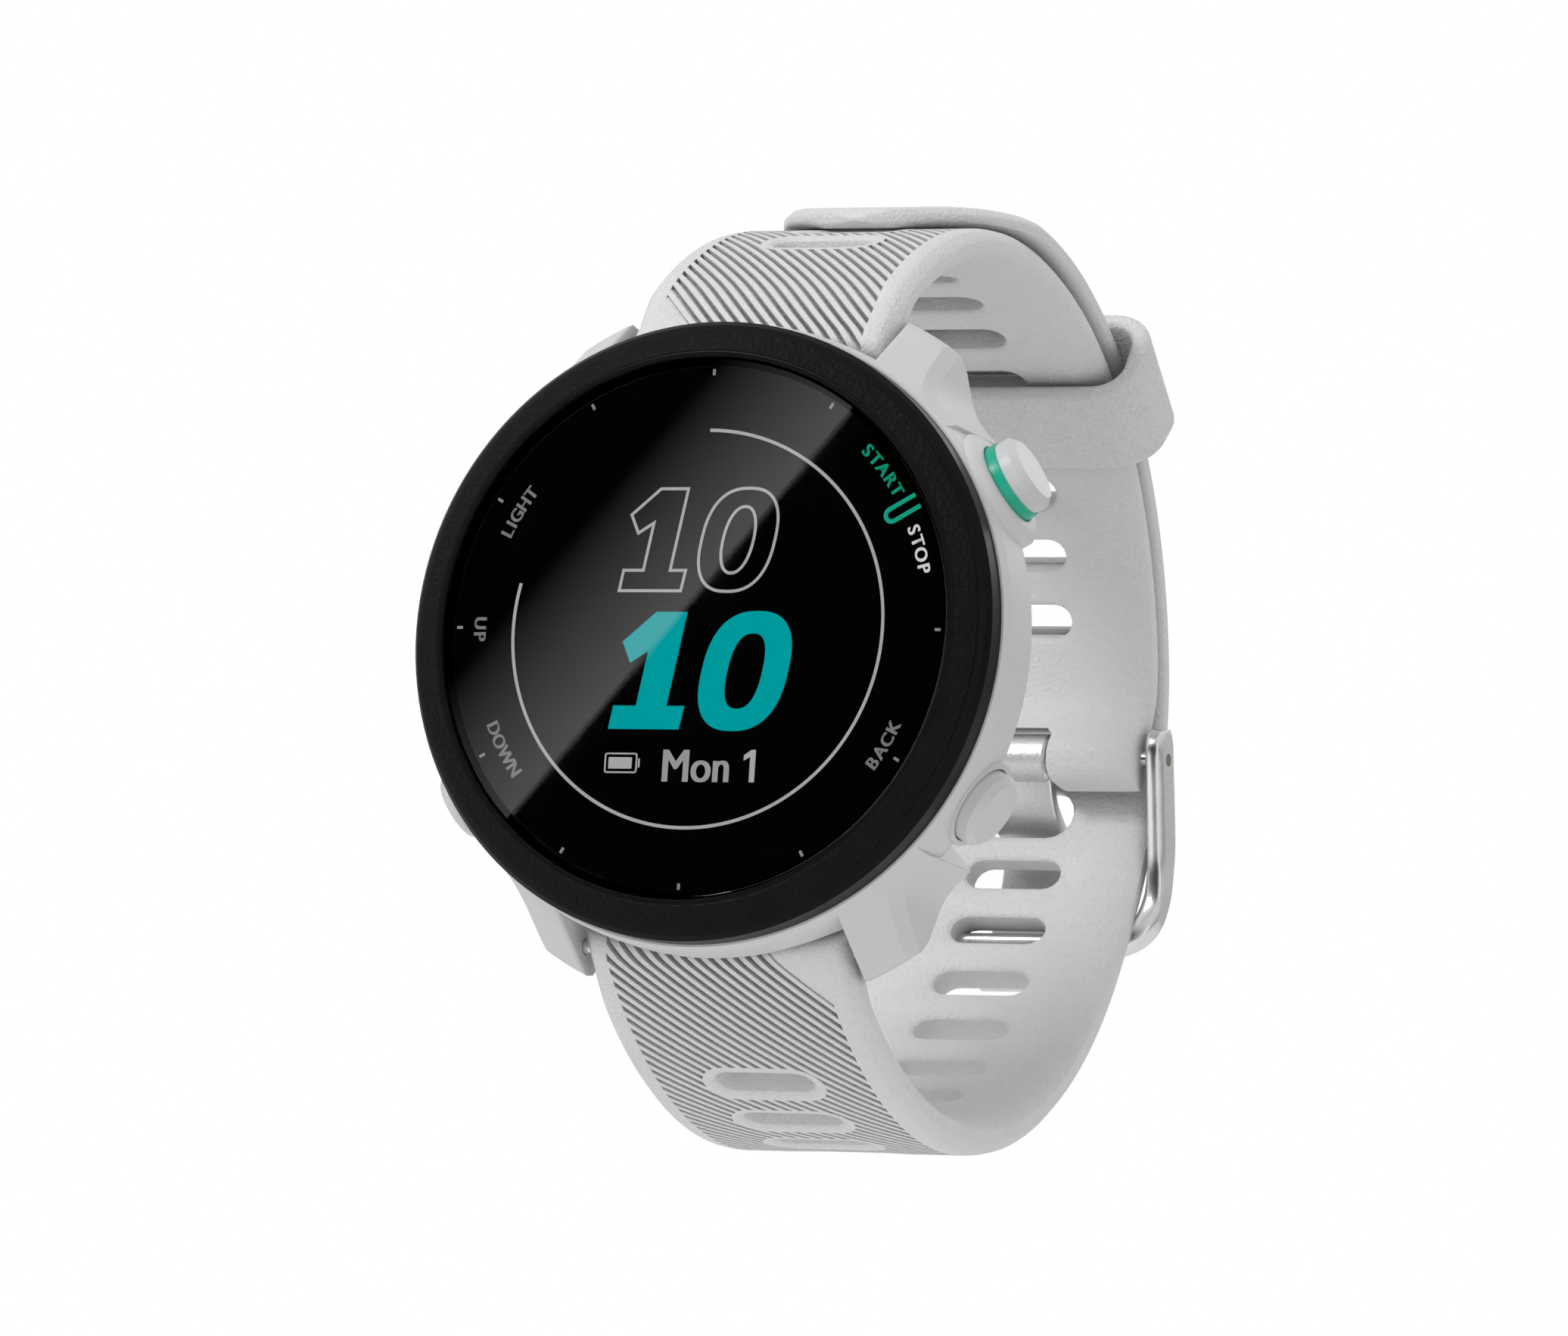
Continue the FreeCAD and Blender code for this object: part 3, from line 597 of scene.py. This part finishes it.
def bend_lower(x, s, h):
    """Bends the long half from its spring bar, up over the buckle half and on to its rounded tip."""
    degrees = LOWER_BAR_ANGLE + math.degrees(s / ARC_R)
    ramp = smoothstep((degrees - RAMP_START) / (RAMP_END - RAMP_START))
    mid = mix(STRAP_MID_R, TAIL_MID_R, ramp)
    thick = mix(STRAP_T, TAIL_T, ramp)
    centre, half = end_shape(s, LOWER_BAR_R, BAR_END_R, mid, thick / 2)
    toward_tip = max(0.0, degrees - TIP_START) / (TIP_END - TIP_START)
    if toward_tip > 0:
        toward_tip = min(toward_tip, 0.9985)
        x *= (1 - toward_tip ** 1.7) ** 0.6
        centre -= 0.3 * toward_tip
        half *= mix(1.0, 0.72, toward_tip) * min(1.0, math.sqrt((1 - toward_tip) * 12))
    radius = centre + (h / STRAP_T * 2 - 1) * half
    return loop_point(degrees, radius, x)


def tongue_notch(bm):
    """The gap in the buckle end for the tongue, with rounded lobes on both sides of its mouth."""
    half_width, flare_share = 2.75, 0.55

    def outline(grow):
        side = half_width + grow * flare_share
        right = [(side - 0.5, -2.3), (side, -1.8), (side, 1.0), (side + 0.1, 1.5), (side + 0.3, 1.88),
                 (side + 0.65, 2.15), (side + 1.1, 2.32), (side + 1.1, 5.0)]
        return right + [(-x, v) for x, v in reversed(right)]
    add_flared_hole(bm, outline, UPPER_LENGTH)


def build_strap():
    """Both halves, bent round the loop so that their ends stay on the bars."""
    slots = [upper_s(a) for a in UPPER_SLOTS]
    upper = strap_half("strap_buckle_half", UPPER_LENGTH, BAR_END_R, PIN_END_R, slots, UPPER_SLOT_WIDTH,
                       (-6.0, upper_s(58.0)), 1, tongue_notch, bend_upper)
    lower_slots = [lower_s(a) for a in LOWER_SLOTS]
    lower = strap_half("strap_long_half", LOWER_LENGTH, BAR_END_R, -0.02, lower_slots, LOWER_SLOT_WIDTH,
                       (-6.0, lower_s(-42.0)), -1, None, bend_lower)
    for piece, node in ((upper, "strap_upper"), (lower, "strap_lower")):
        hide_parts(node)
        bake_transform(piece)


# ---------------------------------------------------------------- keeper
def build_keeper():
    """A rounded rectangular loop of silicone with soft edges, bent to the strap's curve."""
    mid_r = (KEEPER_IN_R + KEEPER_OUT_R) / 2
    half_r = (KEEPER_OUT_R - KEEPER_IN_R + KEEPER_WALL) / 2
    half_x = high("keeper_loop").x + KEEPER_EASE - KEEPER_WALL / 2
    section = rounded_box(KEEPER_HALF_WIDTH, KEEPER_WALL / 2, 0.52)
    rings = []
    for (x, r), (out_x, out_r) in rounded_box_with_normals(half_x, half_r, KEEPER_CORNER_R, 8):
        ring = []
        for along, out in section:
            crown = KEEPER_CROWN * (1 - (along / KEEPER_HALF_WIDTH) ** 2) if out > 0 else 0.0
            push = out + crown
            degrees = KEEPER_ANGLE + math.degrees(along / mid_r)
            ring.append(loop_point(degrees, mid_r + r + push * out_r, x + push * out_x))
        rings.append(ring)
    bm = bmesh.new()
    add_rings(bm, rings, capped=False)
    piece = object_from("keeper_band", bm, [KEEPER_SILICONE], 50.0)
    place(piece, "keeper", "silicone", "keeper_loop")


# ---------------------------------------------------------------- buckle
def catmull(points, steps):
    """A smooth line through the points."""
    ends = [points[0] * 2 - points[1]] + points + [points[-1] * 2 - points[-2]]
    line = []
    for p0, p1, p2, p3 in zip(ends, ends[1:], ends[2:], ends[3:]):
        for k in range(steps):
            t = k / steps
            line.append(0.5 * ((2 * p1) + (p2 - p0) * t + (2 * p0 - 5 * p1 + 4 * p2 - p3) * t * t
                               + (3 * p1 - p0 - 3 * p2 + p3) * t ** 3))
    return line + [points[-1]]


def buckle_line(pin):
    """The bar's middle line: up one arm from its end on the pin, across the end bar and back."""
    # Each row is how far in from the arm, how far behind the pin, and the height.
    rows = [(0.0, 0.25, pin.z + 2.15), (0.0, PIN_EYE_RISE, pin.z + 0.4), (0.0, 1.3, -3.2), (0.0, 1.95, -6.6),
            (0.0, 1.6, -9.6), (0.6, 0.8, -11.8), (2.2, 0.35, -12.85), (4.6, 0.3, -13.1)]
    right = [Vector((BUCKLE_ARM_X - inward, pin.y + behind, z)) for inward, behind, z in rows]
    left = [Vector((-p.x, p.y, p.z)) for p in reversed(right)]
    return catmull(right + left, 7)


def build_buckle():
    """One bent bar with an end on each end of the pin, polished with flat blasted cheeks."""
    pin = (low("buckle_pin") + high("buckle_pin")) / 2
    line = buckle_line(pin)
    section = rounded_box(0.5, 0.5, 0.3)
    last = len(line) - 1
    rings = []
    for i, point in enumerate(line):
        along = along_at(line, i)
        side = Vector((0, 1, 0))
        side = (side - along * side.dot(along)).normalized()
        out = along.cross(side)
        share = min(i, last - i) / last
        width = mix(3.0, 1.9, smoothstep((share - 0.17) / 0.12))
        thick = mix(1.42, 1.75, smoothstep((share - 0.2) / 0.12))
        to_end = (point - line[0 if i < last / 2 else last]).length
        if to_end < BUCKLE_END_LENGTH:
            width *= math.sqrt(max(0.02, 1 - ((BUCKLE_END_LENGTH - to_end) / BUCKLE_END_LENGTH) ** 2))
        rings.append([point + side * (a * width) + out * (b * thick) for a, b in section])
    bm = bmesh.new()
    add_rings(bm, rings)
    for face in bm.faces:
        face.normal_update()
        if abs(face.normal.x) > 0.97 and abs(face.calc_center_median().x) > BUCKLE_ARM_X:
            face.material_index = 1
    piece = object_from("buckle_bow", bm, [POLISHED, BLASTED], 40.0)
    place(piece, "buckle", "buckle_steel", "buckle_frame")
    build_pin_ends(pin)


def build_pin_ends(pin):
    """The pin's two chamfered ends, just proud of the arms."""
    ends = bmesh.new()
    for side in (1, -1):
        rings = []
        for x, radius in ((10.9, 0.48), (11.12, 0.48), (11.16, 0.44), (11.16, 0.2)):
            rings.append([(side * x, pin.y + PIN_EYE_RISE + y, pin.z + z) for y, z in circle(radius, 24)])
        add_rings(ends, rings)
    place(object_from("buckle_pin_ends", ends, [PIN_METAL]), "buckle", "stainless")


def build_tongue():
    """A bent plate with a rolled eye, blasted on its faces and polished along its edges."""
    pin = (low("buckle_pin") + high("buckle_pin")) / 2
    half = high("buckle_tongue").x
    # The route is loop angles and radii, from the pin out through the slot and on along the tail.
    route = [(-1.4, 28.4), (-4.0, 28.9), (-6.6, 29.8), (-8.5, 31.5), (-9.9, 33.1), (-13.0, 34.15),
             (-20.0, 34.15), (-29.0, 33.85)]
    line = catmull([loop_point(degrees, radius, 0) for degrees, radius in route], 6)
    section = rounded_box(half, 0.5, 0.16, 3)
    rings = []
    for i, point in enumerate(line):
        along = along_at(line, i)
        across = Vector((0, -along.z, along.y))
        rings.append([point + Vector((a, 0, 0)) + across * b for a, b in section])
    plate = bmesh.new()
    add_rings(plate, rings)
    barrel = bmesh.new()
    rings = []
    for x, radius in ((-half, 1.5), (-half + 0.2, 1.7), (half - 0.2, 1.7), (half, 1.5)):
        rings.append([(x, pin.y + y, pin.z + z) for y, z in circle(radius, 48)])
    add_rings(barrel, rings)
    bm = boolean(plate, barrel, "UNION")
    for face in bm.faces:
        face.normal_update()
        face.material_index = 1 if abs(face.normal.x) > 0.2 else 0
    piece = object_from("buckle_prong", bm, [BLASTED, POLISHED], 30.0)
    place(piece, "tongue", "buckle_steel", "buckle_tongue")


# ---------------------------------------------------------------- start button surround
def turned(name, profile, axis_angle, axis_y, material, body, slot, *replaced):
    """A piece turned about a button's axis; the profile lists (radius, distance from the watch's centre)."""
    a = math.radians(axis_angle)
    out = Vector((math.cos(a), 0, math.sin(a)))
    across = Vector((-math.sin(a), 0, math.cos(a)))
    rings = []
    for k in range(72):
        b = math.tau * k / 72
        spoke = across * math.cos(b) + Vector((0, 1, 0)) * math.sin(b)
        rings.append([out * reach + Vector((0, axis_y, 0)) + spoke * r for r, reach in profile])
    bm = bmesh.new()
    add_rings(bm, rings, capped=False)
    return place(object_from(name, bm, [material], 40.0), body, slot, *replaced)


def start_button_surround():
    """A soft boss on the housing and the green sleeve that the start cap slides in."""
    centre = (low("button_start") + high("button_start")) / 2
    boss = [(2.76, 20.2), (2.76, 21.38), (2.84, 21.5), (3.1, 21.52), (3.5, 21.42), (3.9, 21.15),
            (4.15, 20.85), (4.15, 20.2)]
    turned("start_boss", boss, START_ANGLE, centre.y, HOUSING, "case", "case_polymer")
    sleeve = [(2.62, 20.0), (2.62, 22.16), (2.64, 22.22), (2.68, 22.22), (2.72, 22.14), (2.72, 20.0)]
    green = grained("start_sleeve_green", (0.0, 0.46, 0.29), (0.0, 0.37, 0.23), 0.3, 0.15, 0.004)
    turned("start_sleeve", sleeve, START_ANGLE, centre.y, green, "case", "green_ring", "start_button_ring")


# ---------------------------------------------------------------- dial
def flat_solid(bm, outline, front, back):
    """A thin prism from an (x, z) outline between two Y planes."""
    add_rings(bm, [[(x, front, z) for x, z in outline], [(x, back, z) for x, z in outline]])


def concave_solid(bm, outline):
    """A thin printed shape whose outline may have inward corners."""
    before = set(bm.faces)
    flat_solid(bm, outline, INK_FRONT, INK_BACK)
    caps = [f for f in bm.faces if f not in before and len(f.verts) > 4]
    for face in caps:
        face.normal_update()
    bmesh.ops.triangulate(bm, faces=caps)


def band_section(a, b):
    """The four corners of a printed band between two points of the dial."""
    return [(a[0], INK_FRONT, a[1]), (b[0], INK_FRONT, b[1]), (b[0], INK_BACK, b[1]), (a[0], INK_BACK, a[1])]


def arc_band(bm, inner, outer, steps, start, sweep):
    """Part of a flat ring as one solid."""
    sections = []
    for k in range(steps + 1):
        a = math.radians(start + sweep * k / steps)
        spoke = Vector((math.cos(a), math.sin(a)))
        sections.append(band_section(spoke * inner, spoke * outer))
    add_rings(bm, sections)


def stroke(bm, points, width, closed=True):
    """A line of even width along points in the dial's plane, as one thin solid."""
    count = len(points)
    sections = []
    for i, (x, z) in enumerate(points):
        before, after = points[i - 1], points[(i + 1) % count]
        if not closed:
            before, after = points[max(i - 1, 0)], points[min(i + 1, count - 1)]
        into = Vector((x - before[0], z - before[1]))
        away = Vector((after[0] - x, after[1] - z))
        into = into.normalized() if into.length else away.normalized()
        away = away.normalized() if away.length else into
        direction = (into + away).normalized()
        normal = Vector((-direction.y, direction.x))
        half = width / 2 / max(0.35, normal.dot(Vector((-into.y, into.x))))
        middle = Vector((x, z))
        sections.append(band_section(middle + normal * half, middle - normal * half))
    add_rings(bm, sections, capped=not closed)


def oval(half_width, half_height, steps=48, power=2.5):
    """Outline of a nought's outer or inner edge: an ellipse with squarer shoulders."""
    points = []
    for c, s in circle(1.0, steps):
        points.append((OVAL_X + half_width * math.copysign(abs(c) ** (2 / power), c),
                       OVAL_Z + half_height * math.copysign(abs(s) ** (2 / power), s)))
    return points


def slanted(points, x, z, height):
    """A figure one unit high, laid on the dial at a height and slanted."""
    return [(x + (u * STRETCH + SLANT * v) * height, z + v * height) for u, v in points]


def numerals():
    """The hour as outlined figures above the minutes as solid figures."""
    hour = bmesh.new()
    for shape in (ONE, oval(0.36, 0.505), oval(0.15, 0.325, power=2.2)):
        stroke(hour, slanted(shape, HOUR_X, HOUR_Z, HOUR_HEIGHT), 0.2)
    place(object_from("dial_hour", hour, [GREY_INK]), "case", "display")
    minute = bmesh.new()
    concave_solid(minute, slanted(ONE, MINUTE_X, MINUTE_Z, MINUTE_HEIGHT))
    outer = slanted(oval(0.37, 0.51, 64), MINUTE_X, MINUTE_Z, MINUTE_HEIGHT)
    inner = slanted(oval(0.148, 0.32, 64), MINUTE_X, MINUTE_Z, MINUTE_HEIGHT)
    add_rings(minute, [band_section(a, b) for a, b in zip(outer, inner)], capped=False)
    place(object_from("dial_minute", minute, [TEAL_INK]), "case", "display")


def glyph_points(text, size, bold):
    """A word or a letter from the built-in font, as a mesh lying in its own X and Y."""
    curve = bpy.data.curves.new("glyph", "FONT")
    curve.body = text
    curve.size = size
    curve.offset = bold
    curve.align_x = "CENTER"
    curve.extrude = 0.003
    curve.resolution_u = 4
    holder = bpy.data.objects.new("glyph", curve)
    scene.collection.objects.link(holder)
    graph = bpy.context.evaluated_depsgraph_get()
    mesh = bpy.data.meshes.new_from_object(holder.evaluated_get(graph))
    bpy.data.objects.remove(holder)
    bpy.data.curves.remove(curve)
    return mesh


def add_text(bm, text, centre, size, turn=0.0, bold=0.0, narrow=1.0):
    """Lays text on the dial, its middle at centre, turned by an angle in degrees."""
    mesh = glyph_points(text, size, bold)
    middle = max((v.co.y for v in mesh.vertices), default=0.0) / 2
    a = math.radians(turn)
    c, s = math.cos(a), math.sin(a)
    depth = (INK_FRONT + INK_BACK) / 2
    for vertex in mesh.vertices:
        x, y = vertex.co.x * narrow, vertex.co.y - middle
        vertex.co = (centre[0] + x * c - y * s, depth + vertex.co.z, centre[1] + x * s + y * c)
    bm.from_mesh(mesh)
    bpy.data.meshes.remove(mesh)


def arc_text(bm, word, radius, middle_angle, inward, size=1.22, pitch=0.9):
    """A word letter by letter along the dial's edge, its tops pointing in or out; each is set twice."""
    steps = [LETTER_WIDTHS.get(letter, 1.0) * pitch for letter in word]
    position = -sum(steps) / 2
    for letter, step in zip(word, steps):
        turned_by = math.degrees((position + step / 2) / radius)
        angle = middle_angle + turned_by if inward else middle_angle - turned_by
        c, s = math.cos(math.radians(angle)), math.sin(math.radians(angle))
        for shift in (-BOLD_SHIFT, BOLD_SHIFT):
            nudged = (radius * c - shift * s, radius * s + shift * c)
            add_text(bm, letter, nudged, size, angle + 90 if inward else angle - 90, 0.012)
        position += step


def dial_prints():
    """All that is printed or shown behind the lens, apart from the figures of the time."""
    black = bmesh.new()
    flat_solid(black, circle(PRINT_R, 128), BLACK_FRONT, BLACK_BACK)
    place(object_from("lens_black_print", black, [BLACK_PRINT]), "case", "display")
    date_and_arc()
    ticks_and_labels()
    white = bmesh.new()
    arc_text(white, "STOP", 16.35, 19.0, False)
    place(object_from("dial_stop_label", white, [WHITE_INK]), "case", "display")
    start_mark()


def date_and_arc():
    """The open progress arc, the date line and the battery sign."""
    grey = bmesh.new()
    arc_band(grey, ARC_IN_R, ARC_OUT_R, 120, -193.0, 283.0)
    for shift in (-2 * BOLD_SHIFT, 0.0, 2 * BOLD_SHIFT):
        add_text(grey, "Mon", (0.62 + shift, -9.1), 3.1, narrow=0.88)
    concave_solid(grey, [(4.05 + u * 1.9, -10.15 + v * 2.15) for u, v in ONE_UPRIGHT])
    x, z = -4.75, -8.95
    stroke(grey, [(x + u, z + v) for u, v in rounded_box(1.12, 0.62, 0.12, 2)], 0.11)
    charge = [(x - 0.05 + u, z + v) for u, v in rounded_box(0.84, 0.38, 0.05, 1)]
    flat_solid(grey, charge, INK_FRONT, INK_BACK)
    tip = [(x + 1.3 + u, z + v) for u, v in rounded_box(0.06, 0.3, 0.03, 1)]
    flat_solid(grey, tip, INK_FRONT, INK_BACK)
    place(object_from("dial_date_and_arc", grey, [GREY_INK]), "case", "display")


def ticks_and_labels():
    """Eleven tick marks, counted from 3 o'clock, and the names of four buttons."""
    dim = bmesh.new()
    for index in range(12):
        if index == TICK_BEHIND_START:
            continue
        a = math.radians(30 * index)
        c, s = math.cos(a), math.sin(a)
        corners = [(TICK_IN_R, -TICK_HALF), (TICK_OUT_R, -TICK_HALF), (TICK_OUT_R, TICK_HALF),
                   (TICK_IN_R, TICK_HALF)]
        points = [((r * c - t * s) * TICK_SHRINK, (r * s + t * c) * TICK_SHRINK) for r, t in corners]
        flat_solid(dim, points, INK_FRONT, INK_BACK)
    arc_text(dim, "LIGHT", 15.5, 150, False)
    arc_text(dim, "UP", 15.6, 180.5, True)
    arc_text(dim, "DOWN", 15.6, 211.5, True)
    arc_text(dim, "BACK", 15.8, -29, True)
    place(object_from("dial_labels", dim, [DIM_INK]), "case", "display")


def start_mark():
    """The start label and the hairpin line beside its button."""
    green = bmesh.new()
    arc_text(green, "START", 16.4, 40.2, False)
    a = math.radians(MARK_ANGLE)
    along = Vector((math.cos(a), math.sin(a)))
    across = Vector((-math.sin(a), math.cos(a)))
    hairpin = [(MARK_OUT_R, MARK_HALF)]
    for k in range(11):
        b = math.pi * k / 10
        hairpin.append((MARK_IN_R - MARK_HALF * math.sin(b), MARK_HALF * math.cos(b)))
    hairpin.append((MARK_OUT_R, -MARK_HALF))
    points = [along * r + across * t for r, t in hairpin]
    stroke(green, [(p.x, p.y) for p in points], 0.3, closed=False)
    place(object_from("dial_start_mark", green, [GREEN_INK]), "case", "display")


# ---------------------------------------------------------------- materials on the CAD nodes
def plain_by_slot():
    """Procedural finishes for the pieces that keep their own meshes, one for each material slot."""
    return {
        "case_polymer": HOUSING,
        "bezel_polymer": bezel_material("bezel_leather_black"),
        "lens_glass": lens_material("lens_glass_clear"),
        "display": grained("display_black", (0.004, 0.004, 0.0045), (0.002, 0.002, 0.0025), 0.3, 0.4, 0.002),
        "guide": grained("light_guide", (0.8, 0.81, 0.82), (0.7, 0.71, 0.72), 0.25, 0.4, 0.004),
        "adhesive": grained("foam_tape", (0.02, 0.02, 0.02), (0.012, 0.012, 0.012), 0.8, 0.1, 0.01),
        "frame_polymer": grained("chassis_polymer", (0.03, 0.03, 0.032), (0.02, 0.02, 0.022), 0.5, 0.2, 0.01,
                                 edge=0.08),
        "board": grained("board_laminate", (0.01, 0.09, 0.04), (0.006, 0.06, 0.025), 0.4, 0.3, 0.006),
        "tinned_steel": grained("tinned_sheet", (0.6, 0.6, 0.58), (0.48, 0.48, 0.47), 0.35, 0.4, 0.006,
                                Metallic=1.0),
        "cell": grained("foil_pouch", (0.5, 0.5, 0.52), (0.38, 0.38, 0.4), 0.4, 0.8, 0.03, Metallic=1.0),
        "cover_polymer": grained("cover_polymer", (0.032, 0.033, 0.035), (0.022, 0.023, 0.025), 0.45, 0.14,
                                 0.008, edge=0.12),
        "seal": grained("seal_rubber", (0.02, 0.02, 0.022), (0.012, 0.012, 0.014), 0.7, 0.1, 0.006),
        "stainless": polished_steel("drawn_steel", True),
        "sensor_glass": grained("sensor_window", (0.01, 0.01, 0.012), (0.006, 0.006, 0.008), 0.08, 0.6, 0.001,
                                edge=0.1),
        "led": grained("emitters", (0.1, 0.35, 0.14), (0.05, 0.2, 0.08), 0.2, 0.2, 0.003),
        "gold": grained("gold_plate", (0.83, 0.6, 0.26), (0.7, 0.48, 0.2), 0.22, 0.2, 0.002,
                        edge=0.06, Metallic=1.0),
        "green_ring": grained("start_ring_green", (0.0, 0.42, 0.27), (0.0, 0.34, 0.21), 0.3, 0.15, 0.004,
                              edge=0.08),
        "button_polymer": BUTTON,
        "silicone": SILICONE,
        "buckle_steel": BLASTED,
    }


def dress_cad_nodes():
    """Gives every CAD node the finish of its material slot."""
    slots = {part["node"]: part["material_slot"] for part in frame["record"]["subparts"]}
    finishes = plain_by_slot()
    for name, node in frame["nodes"].items():
        for index in range(len(node.data.materials)):
            node.material_slots[index].material = finishes[slots[name]]


# ---------------------------------------------------------------- camera, light and stage
def add_camera():
    data = bpy.data.cameras.new("camera")
    data.lens = CAMERA_LENS
    data.sensor_width = 36.0
    data.clip_start = 0.05
    data.clip_end = 20.0
    camera = bpy.data.objects.new("camera", data)
    scene.collection.objects.link(camera)
    back = CAMERA_BACK.normalized()
    right = CAMERA_UP.cross(back).normalized()
    up = back.cross(right)
    camera.matrix_world = Matrix.Translation(CAMERA_AT) @ Matrix((right, up, back)).transposed().to_4x4()
    scene.camera = camera


def area_light(name, at, target, size, power):
    data = bpy.data.lights.new(name, "AREA")
    data.shape = "DISK"
    data.size = size
    data.energy = power
    light = bpy.data.objects.new(name, data)
    scene.collection.objects.link(light)
    light.location = at
    light.rotation_euler = (Vector(target) - Vector(at)).to_track_quat("-Z", "Y").to_euler()


def add_world():
    """White behind the object; a studio that is bright above and darker low down for all other rays."""
    world = bpy.data.worlds.new("studio")
    scene.world = world
    world.use_nodes = True
    tree = world.node_tree
    background = tree.nodes["Background"]
    seen = tree.nodes.new("ShaderNodeLightPath").outputs["Is Camera Ray"]
    axes = tree.nodes.new("ShaderNodeSeparateXYZ")
    tree.links.new(tree.nodes.new("ShaderNodeTexCoord").outputs["Generated"], axes.inputs[0])
    ramp = tree.nodes.new("ShaderNodeValToRGB")
    height = tree.nodes.new("ShaderNodeMapRange")
    height.inputs["From Min"].default_value = -1.0
    tree.links.new(axes.outputs["Z"], height.inputs["Value"])
    tree.links.new(height.outputs["Result"], ramp.inputs["Fac"])
    stops = [(0.0, 0.08), (0.36, 0.1), (0.5, 0.28), (0.62, 0.58), (1.0, 0.74)]
    for position, level in stops[1:-1]:
        ramp.color_ramp.elements.new(position)
    for element, (position, level) in zip(ramp.color_ramp.elements, stops):
        element.position = position
        element.color = (level, level, level, 1.0)
    blend = tree.nodes.new("ShaderNodeMix")
    blend.data_type = "RGBA"
    tree.links.new(seen, blend.inputs["Factor"])
    tree.links.new(ramp.outputs["Color"], blend.inputs[6])
    blend.inputs[7].default_value = (1.0, 1.0, 1.0, 1.0)
    tree.links.new(blend.outputs[2], background.inputs["Color"])


def reflected(dial_x, dial_z, card_y):
    """Where a card in front must be for the camera to see it mirrored at a place on the lens."""
    lens_y = low("lens").y
    eye = CAMERA_AT / MM
    mirrored = Vector((eye.x, 2 * lens_y - eye.y, eye.z))
    point = Vector((dial_x, lens_y, dial_z))
    t = (card_y - mirrored.y) / (point.y - mirrored.y)
    return mirrored + (point - mirrored) * t


def card_material(name, level):
    """Light of one level that fades out across the card, or none at all for level 0."""
    material = bpy.data.materials.new(name)
    material.use_nodes = True
    tree = material.node_tree
    tree.nodes.remove(tree.nodes["Principled BSDF"])
    glow = tree.nodes.new("ShaderNodeEmission")
    tree.links.new(glow.outputs[0], tree.nodes["Material Output"].inputs["Surface"])
    glow.inputs["Strength"].default_value = level
    if level:
        fade = tree.nodes.new("ShaderNodeValToRGB")
        gradient = tree.nodes.new("ShaderNodeSeparateXYZ")
        tree.links.new(tree.nodes.new("ShaderNodeTexCoord").outputs["UV"], gradient.inputs[0])
        tree.links.new(gradient.outputs["Y"], fade.inputs["Fac"])
        bright, black = fade.color_ramp.elements
        bright.color = (1.0, 1.0, 1.0, 1.0)
        black.color = (0.0, 0.0, 0.0, 1.0)
        black.position = GLARE_WIDTH / CARD_REACH
        tree.links.new(fade.outputs["Color"], glow.inputs["Color"])
    return material


def add_card(name, side, level):
    """A card on one side of the glare's sharp edge, seen only in reflections."""
    top, bottom = Vector(GLARE_TOP), Vector(GLARE_BOTTOM)
    along = (top - bottom).normalized()
    across = Vector((-along.y, along.x))
    middle = (top + bottom) / 2
    corners = [(-CARD_REACH, 0), (CARD_REACH, 0), (CARD_REACH, CARD_REACH), (-CARD_REACH, CARD_REACH)]
    spots = [middle + along * u + across * v * side for u, v in corners]
    bm = bmesh.new()
    face = bm.faces.new([bm.verts.new(reflected(p.x, p.y, CARD_Y - side)) for p in spots])
    uv = bm.loops.layers.uv.new("fade")
    for loop, (u, v) in zip(face.loops, corners):
        loop[uv].uv = (0.5, v / CARD_REACH)
    bmesh.ops.scale(bm, vec=(MM, MM, MM), verts=bm.verts)
    mesh = bpy.data.meshes.new(name)
    bm.to_mesh(mesh)
    bm.free()
    mesh.materials.append(card_material(name, level))
    card = bpy.data.objects.new(name, mesh)
    scene.collection.objects.link(card)
    card.visible_camera = card.visible_diffuse = card.visible_shadow = False


def add_floor():
    """A plain pale floor, lower than the camera."""
    bm = bmesh.new()
    bmesh.ops.create_grid(bm, x_segments=8, y_segments=8, size=3.0)
    bmesh.ops.translate(bm, verts=bm.verts, vec=(0, 0, -0.16))
    mesh = bpy.data.meshes.new("floor")
    bm.to_mesh(mesh)
    bm.free()
    paint = Paint("floor_paper", 0.8)
    paint.colours(paint.noise(60.0, 2.0), (0.86, 0.86, 0.865), (0.88, 0.88, 0.885))
    mesh.materials.append(paint.material)
    floor = bpy.data.objects.new("floor", mesh)
    scene.collection.objects.link(floor)


add_camera()
dress_cad_nodes()
build_strap()
build_keeper()
build_buckle()
build_tongue()
start_button_surround()
numerals()
dial_prints()
add_world()
add_floor()
add_card("glare_card", 1, 1.1)
add_card("dark_card", -1, 0.0)
area_light("key", (-0.4, -0.8, 0.6), (0, 0, 0), 0.3, 4.5)
area_light("side", (0.7, -0.75, 0.1), (0, 0.03, 0), 0.4, 0.25)
area_light("back", (0.2, 0.9, 0.5), (0, 0.02, 0), 0.5, 0.8)
scene.view_settings.view_transform = "Standard"
